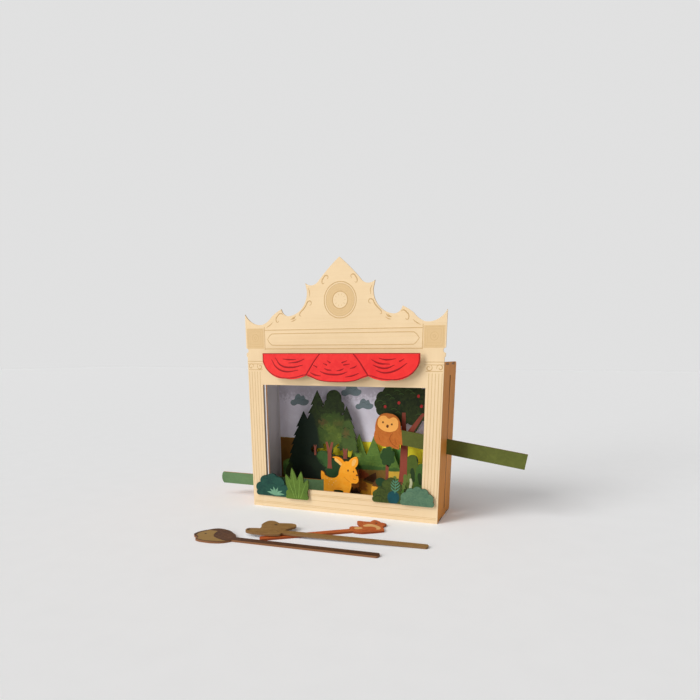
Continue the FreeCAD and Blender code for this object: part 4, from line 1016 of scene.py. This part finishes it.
def draw_hare():
    fur = (paint(146, 110, 60), paint(130, 94, 48), paint(162, 126, 76))
    card = painted_card("hare print", fur, dab=3.0, facing=(0, 0, 1), edge=paint(132, 100, 64))
    dress("hare_puppet", card)
    place = table_place(-35.0, -84.7, 7.0, math.atan2(1.4, 70.0), 106.3)

    def at(points):
        return shares(points, 0.0, 25.4, 24.6)

    dark = ink("hare eye print", paint(58, 38, 24))
    eye = at(((0.5, 0.72), (0.545, 0.755), (0.575, 0.72), (0.53, 0.69)))
    nose = at(((0.025, 0.2), (0.06, 0.26), (0.085, 0.2), (0.05, 0.15)))
    fields("hare_eye_and_nose", [eye, nose], place, dark, "hare", level=2)
    shade = ink("hare fur print", paint(112, 82, 48))
    strokes = [
        at(((0.62, 0.76, 0.3), (0.78, 0.8, 1.1), (0.93, 0.8, 0.3))),
        at(((0.3, 0.4, 0.3), (0.4, 0.46, 1.0), (0.47, 0.56, 0.3))),
        at(((0.22, 0.12, 0.3), (0.42, 0.08, 1.0), (0.64, 0.12, 0.3))),
        at(((0.66, 0.34, 0.3), (0.74, 0.28, 1.0), (0.8, 0.18, 0.3))),
    ]
    lines("hare_fur_lines", strokes, 0.5, place, shade, "hare")


def draw_fox():
    coat = (paint(192, 94, 42), paint(174, 78, 34), paint(206, 116, 58))
    card = painted_card("fox print", coat, dab=3.0, facing=(0, 0, 1), edge=paint(150, 74, 38))
    dress("fox_puppet", card)
    place = table_place(44.0, -44.8, 36.3)

    def at(points):
        return shares(points, -24.0, 24.0, 24.0)

    cream = ink("fox cream print", paint(226, 176, 112), 0.92)
    flank = at(((0.1, 0.36), (0.14, 0.47), (0.27, 0.45), (0.3, 0.35), (0.2, 0.3)))
    chest = at((
        (0.37, 0.5), (0.45, 0.61), (0.58, 0.64), (0.7, 0.5), (0.75, 0.28), (0.7, 0.16), (0.62, 0.14),
        (0.64, 0.3), (0.56, 0.42), (0.46, 0.44),
    ))
    fields("fox_cream", [flank, chest], place, cream, "fox")
    dark = ink("fox eye print", paint(60, 28, 18))
    eye = at(((0.735, 0.66), (0.77, 0.7), (0.8, 0.66), (0.765, 0.63)))
    nose = at(((0.955, 0.53), (0.975, 0.56), (0.995, 0.54), (0.975, 0.505)))
    fields("fox_eye_and_nose", [eye, nose], place, dark, "fox", level=2)
    shade = ink("fox fur print", paint(158, 60, 28))
    strokes = [
        at(((0.36, 0.9, 0.4), (0.42, 0.84, 1.1), (0.42, 0.72, 0.4))),
        at(((0.84, 0.9, 0.4), (0.82, 0.82, 1.0), (0.76, 0.78, 0.4))),
        at(((0.16, 0.12, 0.3), (0.34, 0.18, 1.0), (0.54, 0.12, 0.3))),
    ]
    lines("fox_fur_lines", strokes, 0.55, place, shade, "fox")


draw_hedgehog()
draw_hare()
draw_fox()


# Stage, lamps and camera

def make_stage():
    deselect()
    bpy.ops.mesh.primitive_plane_add(size=8.0, location=(0, 0, -0.00002))
    floor = bpy.context.active_object
    floor.name = "floor"
    material = bpy.data.materials.new("pale floor")
    material.use_nodes = True
    wiring = Wiring(material.node_tree)
    shader = material.node_tree.nodes["Principled BSDF"]
    shader.inputs["Roughness"].default_value = 0.85
    place = wiring.node("ShaderNodeTexCoord").outputs["Object"]
    mottle = wiring.noise(place, 60.0, 3.0)["Fac"]
    wiring.feed(shader.inputs["Base Color"], wiring.mix(mottle, paint(246, 246, 246), paint(250, 250, 250)))
    floor.data.materials.append(material)

    world = bpy.data.worlds.new("studio")
    world.use_nodes = True
    bpy.context.scene.world = world
    wiring = Wiring(world.node_tree)
    background = world.node_tree.nodes["Background"]
    rays = wiring.node("ShaderNodeLightPath").outputs
    seen = wiring.math("MAXIMUM", rays["Is Camera Ray"], rays["Is Glossy Ray"])
    seen = wiring.math("MAXIMUM", seen, rays["Is Transmission Ray"])
    strength = wiring.math("ADD", wiring.math("MULTIPLY", seen, 0.5), 0.25)
    wiring.feed(background.inputs["Strength"], strength)
    background.inputs["Color"].default_value = (1.0, 1.0, 1.0, 1.0)


def add_lamp(name, azimuth, elevation, softness, strength):
    """A far soft lamp, so that the whole floor is lit alike. Azimuth 0 is straight in front."""
    deselect()
    bpy.ops.object.light_add(type="SUN", location=(0, -2, 2))
    lamp = bpy.context.active_object
    lamp.name = name
    lamp.data.angle = math.radians(softness)
    lamp.data.energy = strength
    lamp.rotation_euler = (math.radians(90 - elevation), 0, math.radians(azimuth))


def make_camera():
    deselect()
    bpy.ops.object.camera_add(location=(0.1282, -0.3441, 0.1015))
    camera = bpy.context.active_object
    camera.rotation_euler = (math.radians(90 - 15.0), 0, math.radians(20.78))
    camera.data.sensor_width = 36.0
    camera.data.lens = 28.08
    camera.data.shift_x = 0.0036
    camera.data.shift_y = 0.2171
    camera.data.clip_start = 0.005
    bpy.context.scene.camera = camera


make_stage()
add_lamp("key lamp", -42, 36, 24, 1.5)
add_lamp("low lamp", -35, 8, 26, 1.25)
add_lamp("top lamp", -20, 70, 40, 0.65)
make_camera()
bpy.context.scene.view_settings.view_transform = "Standard"
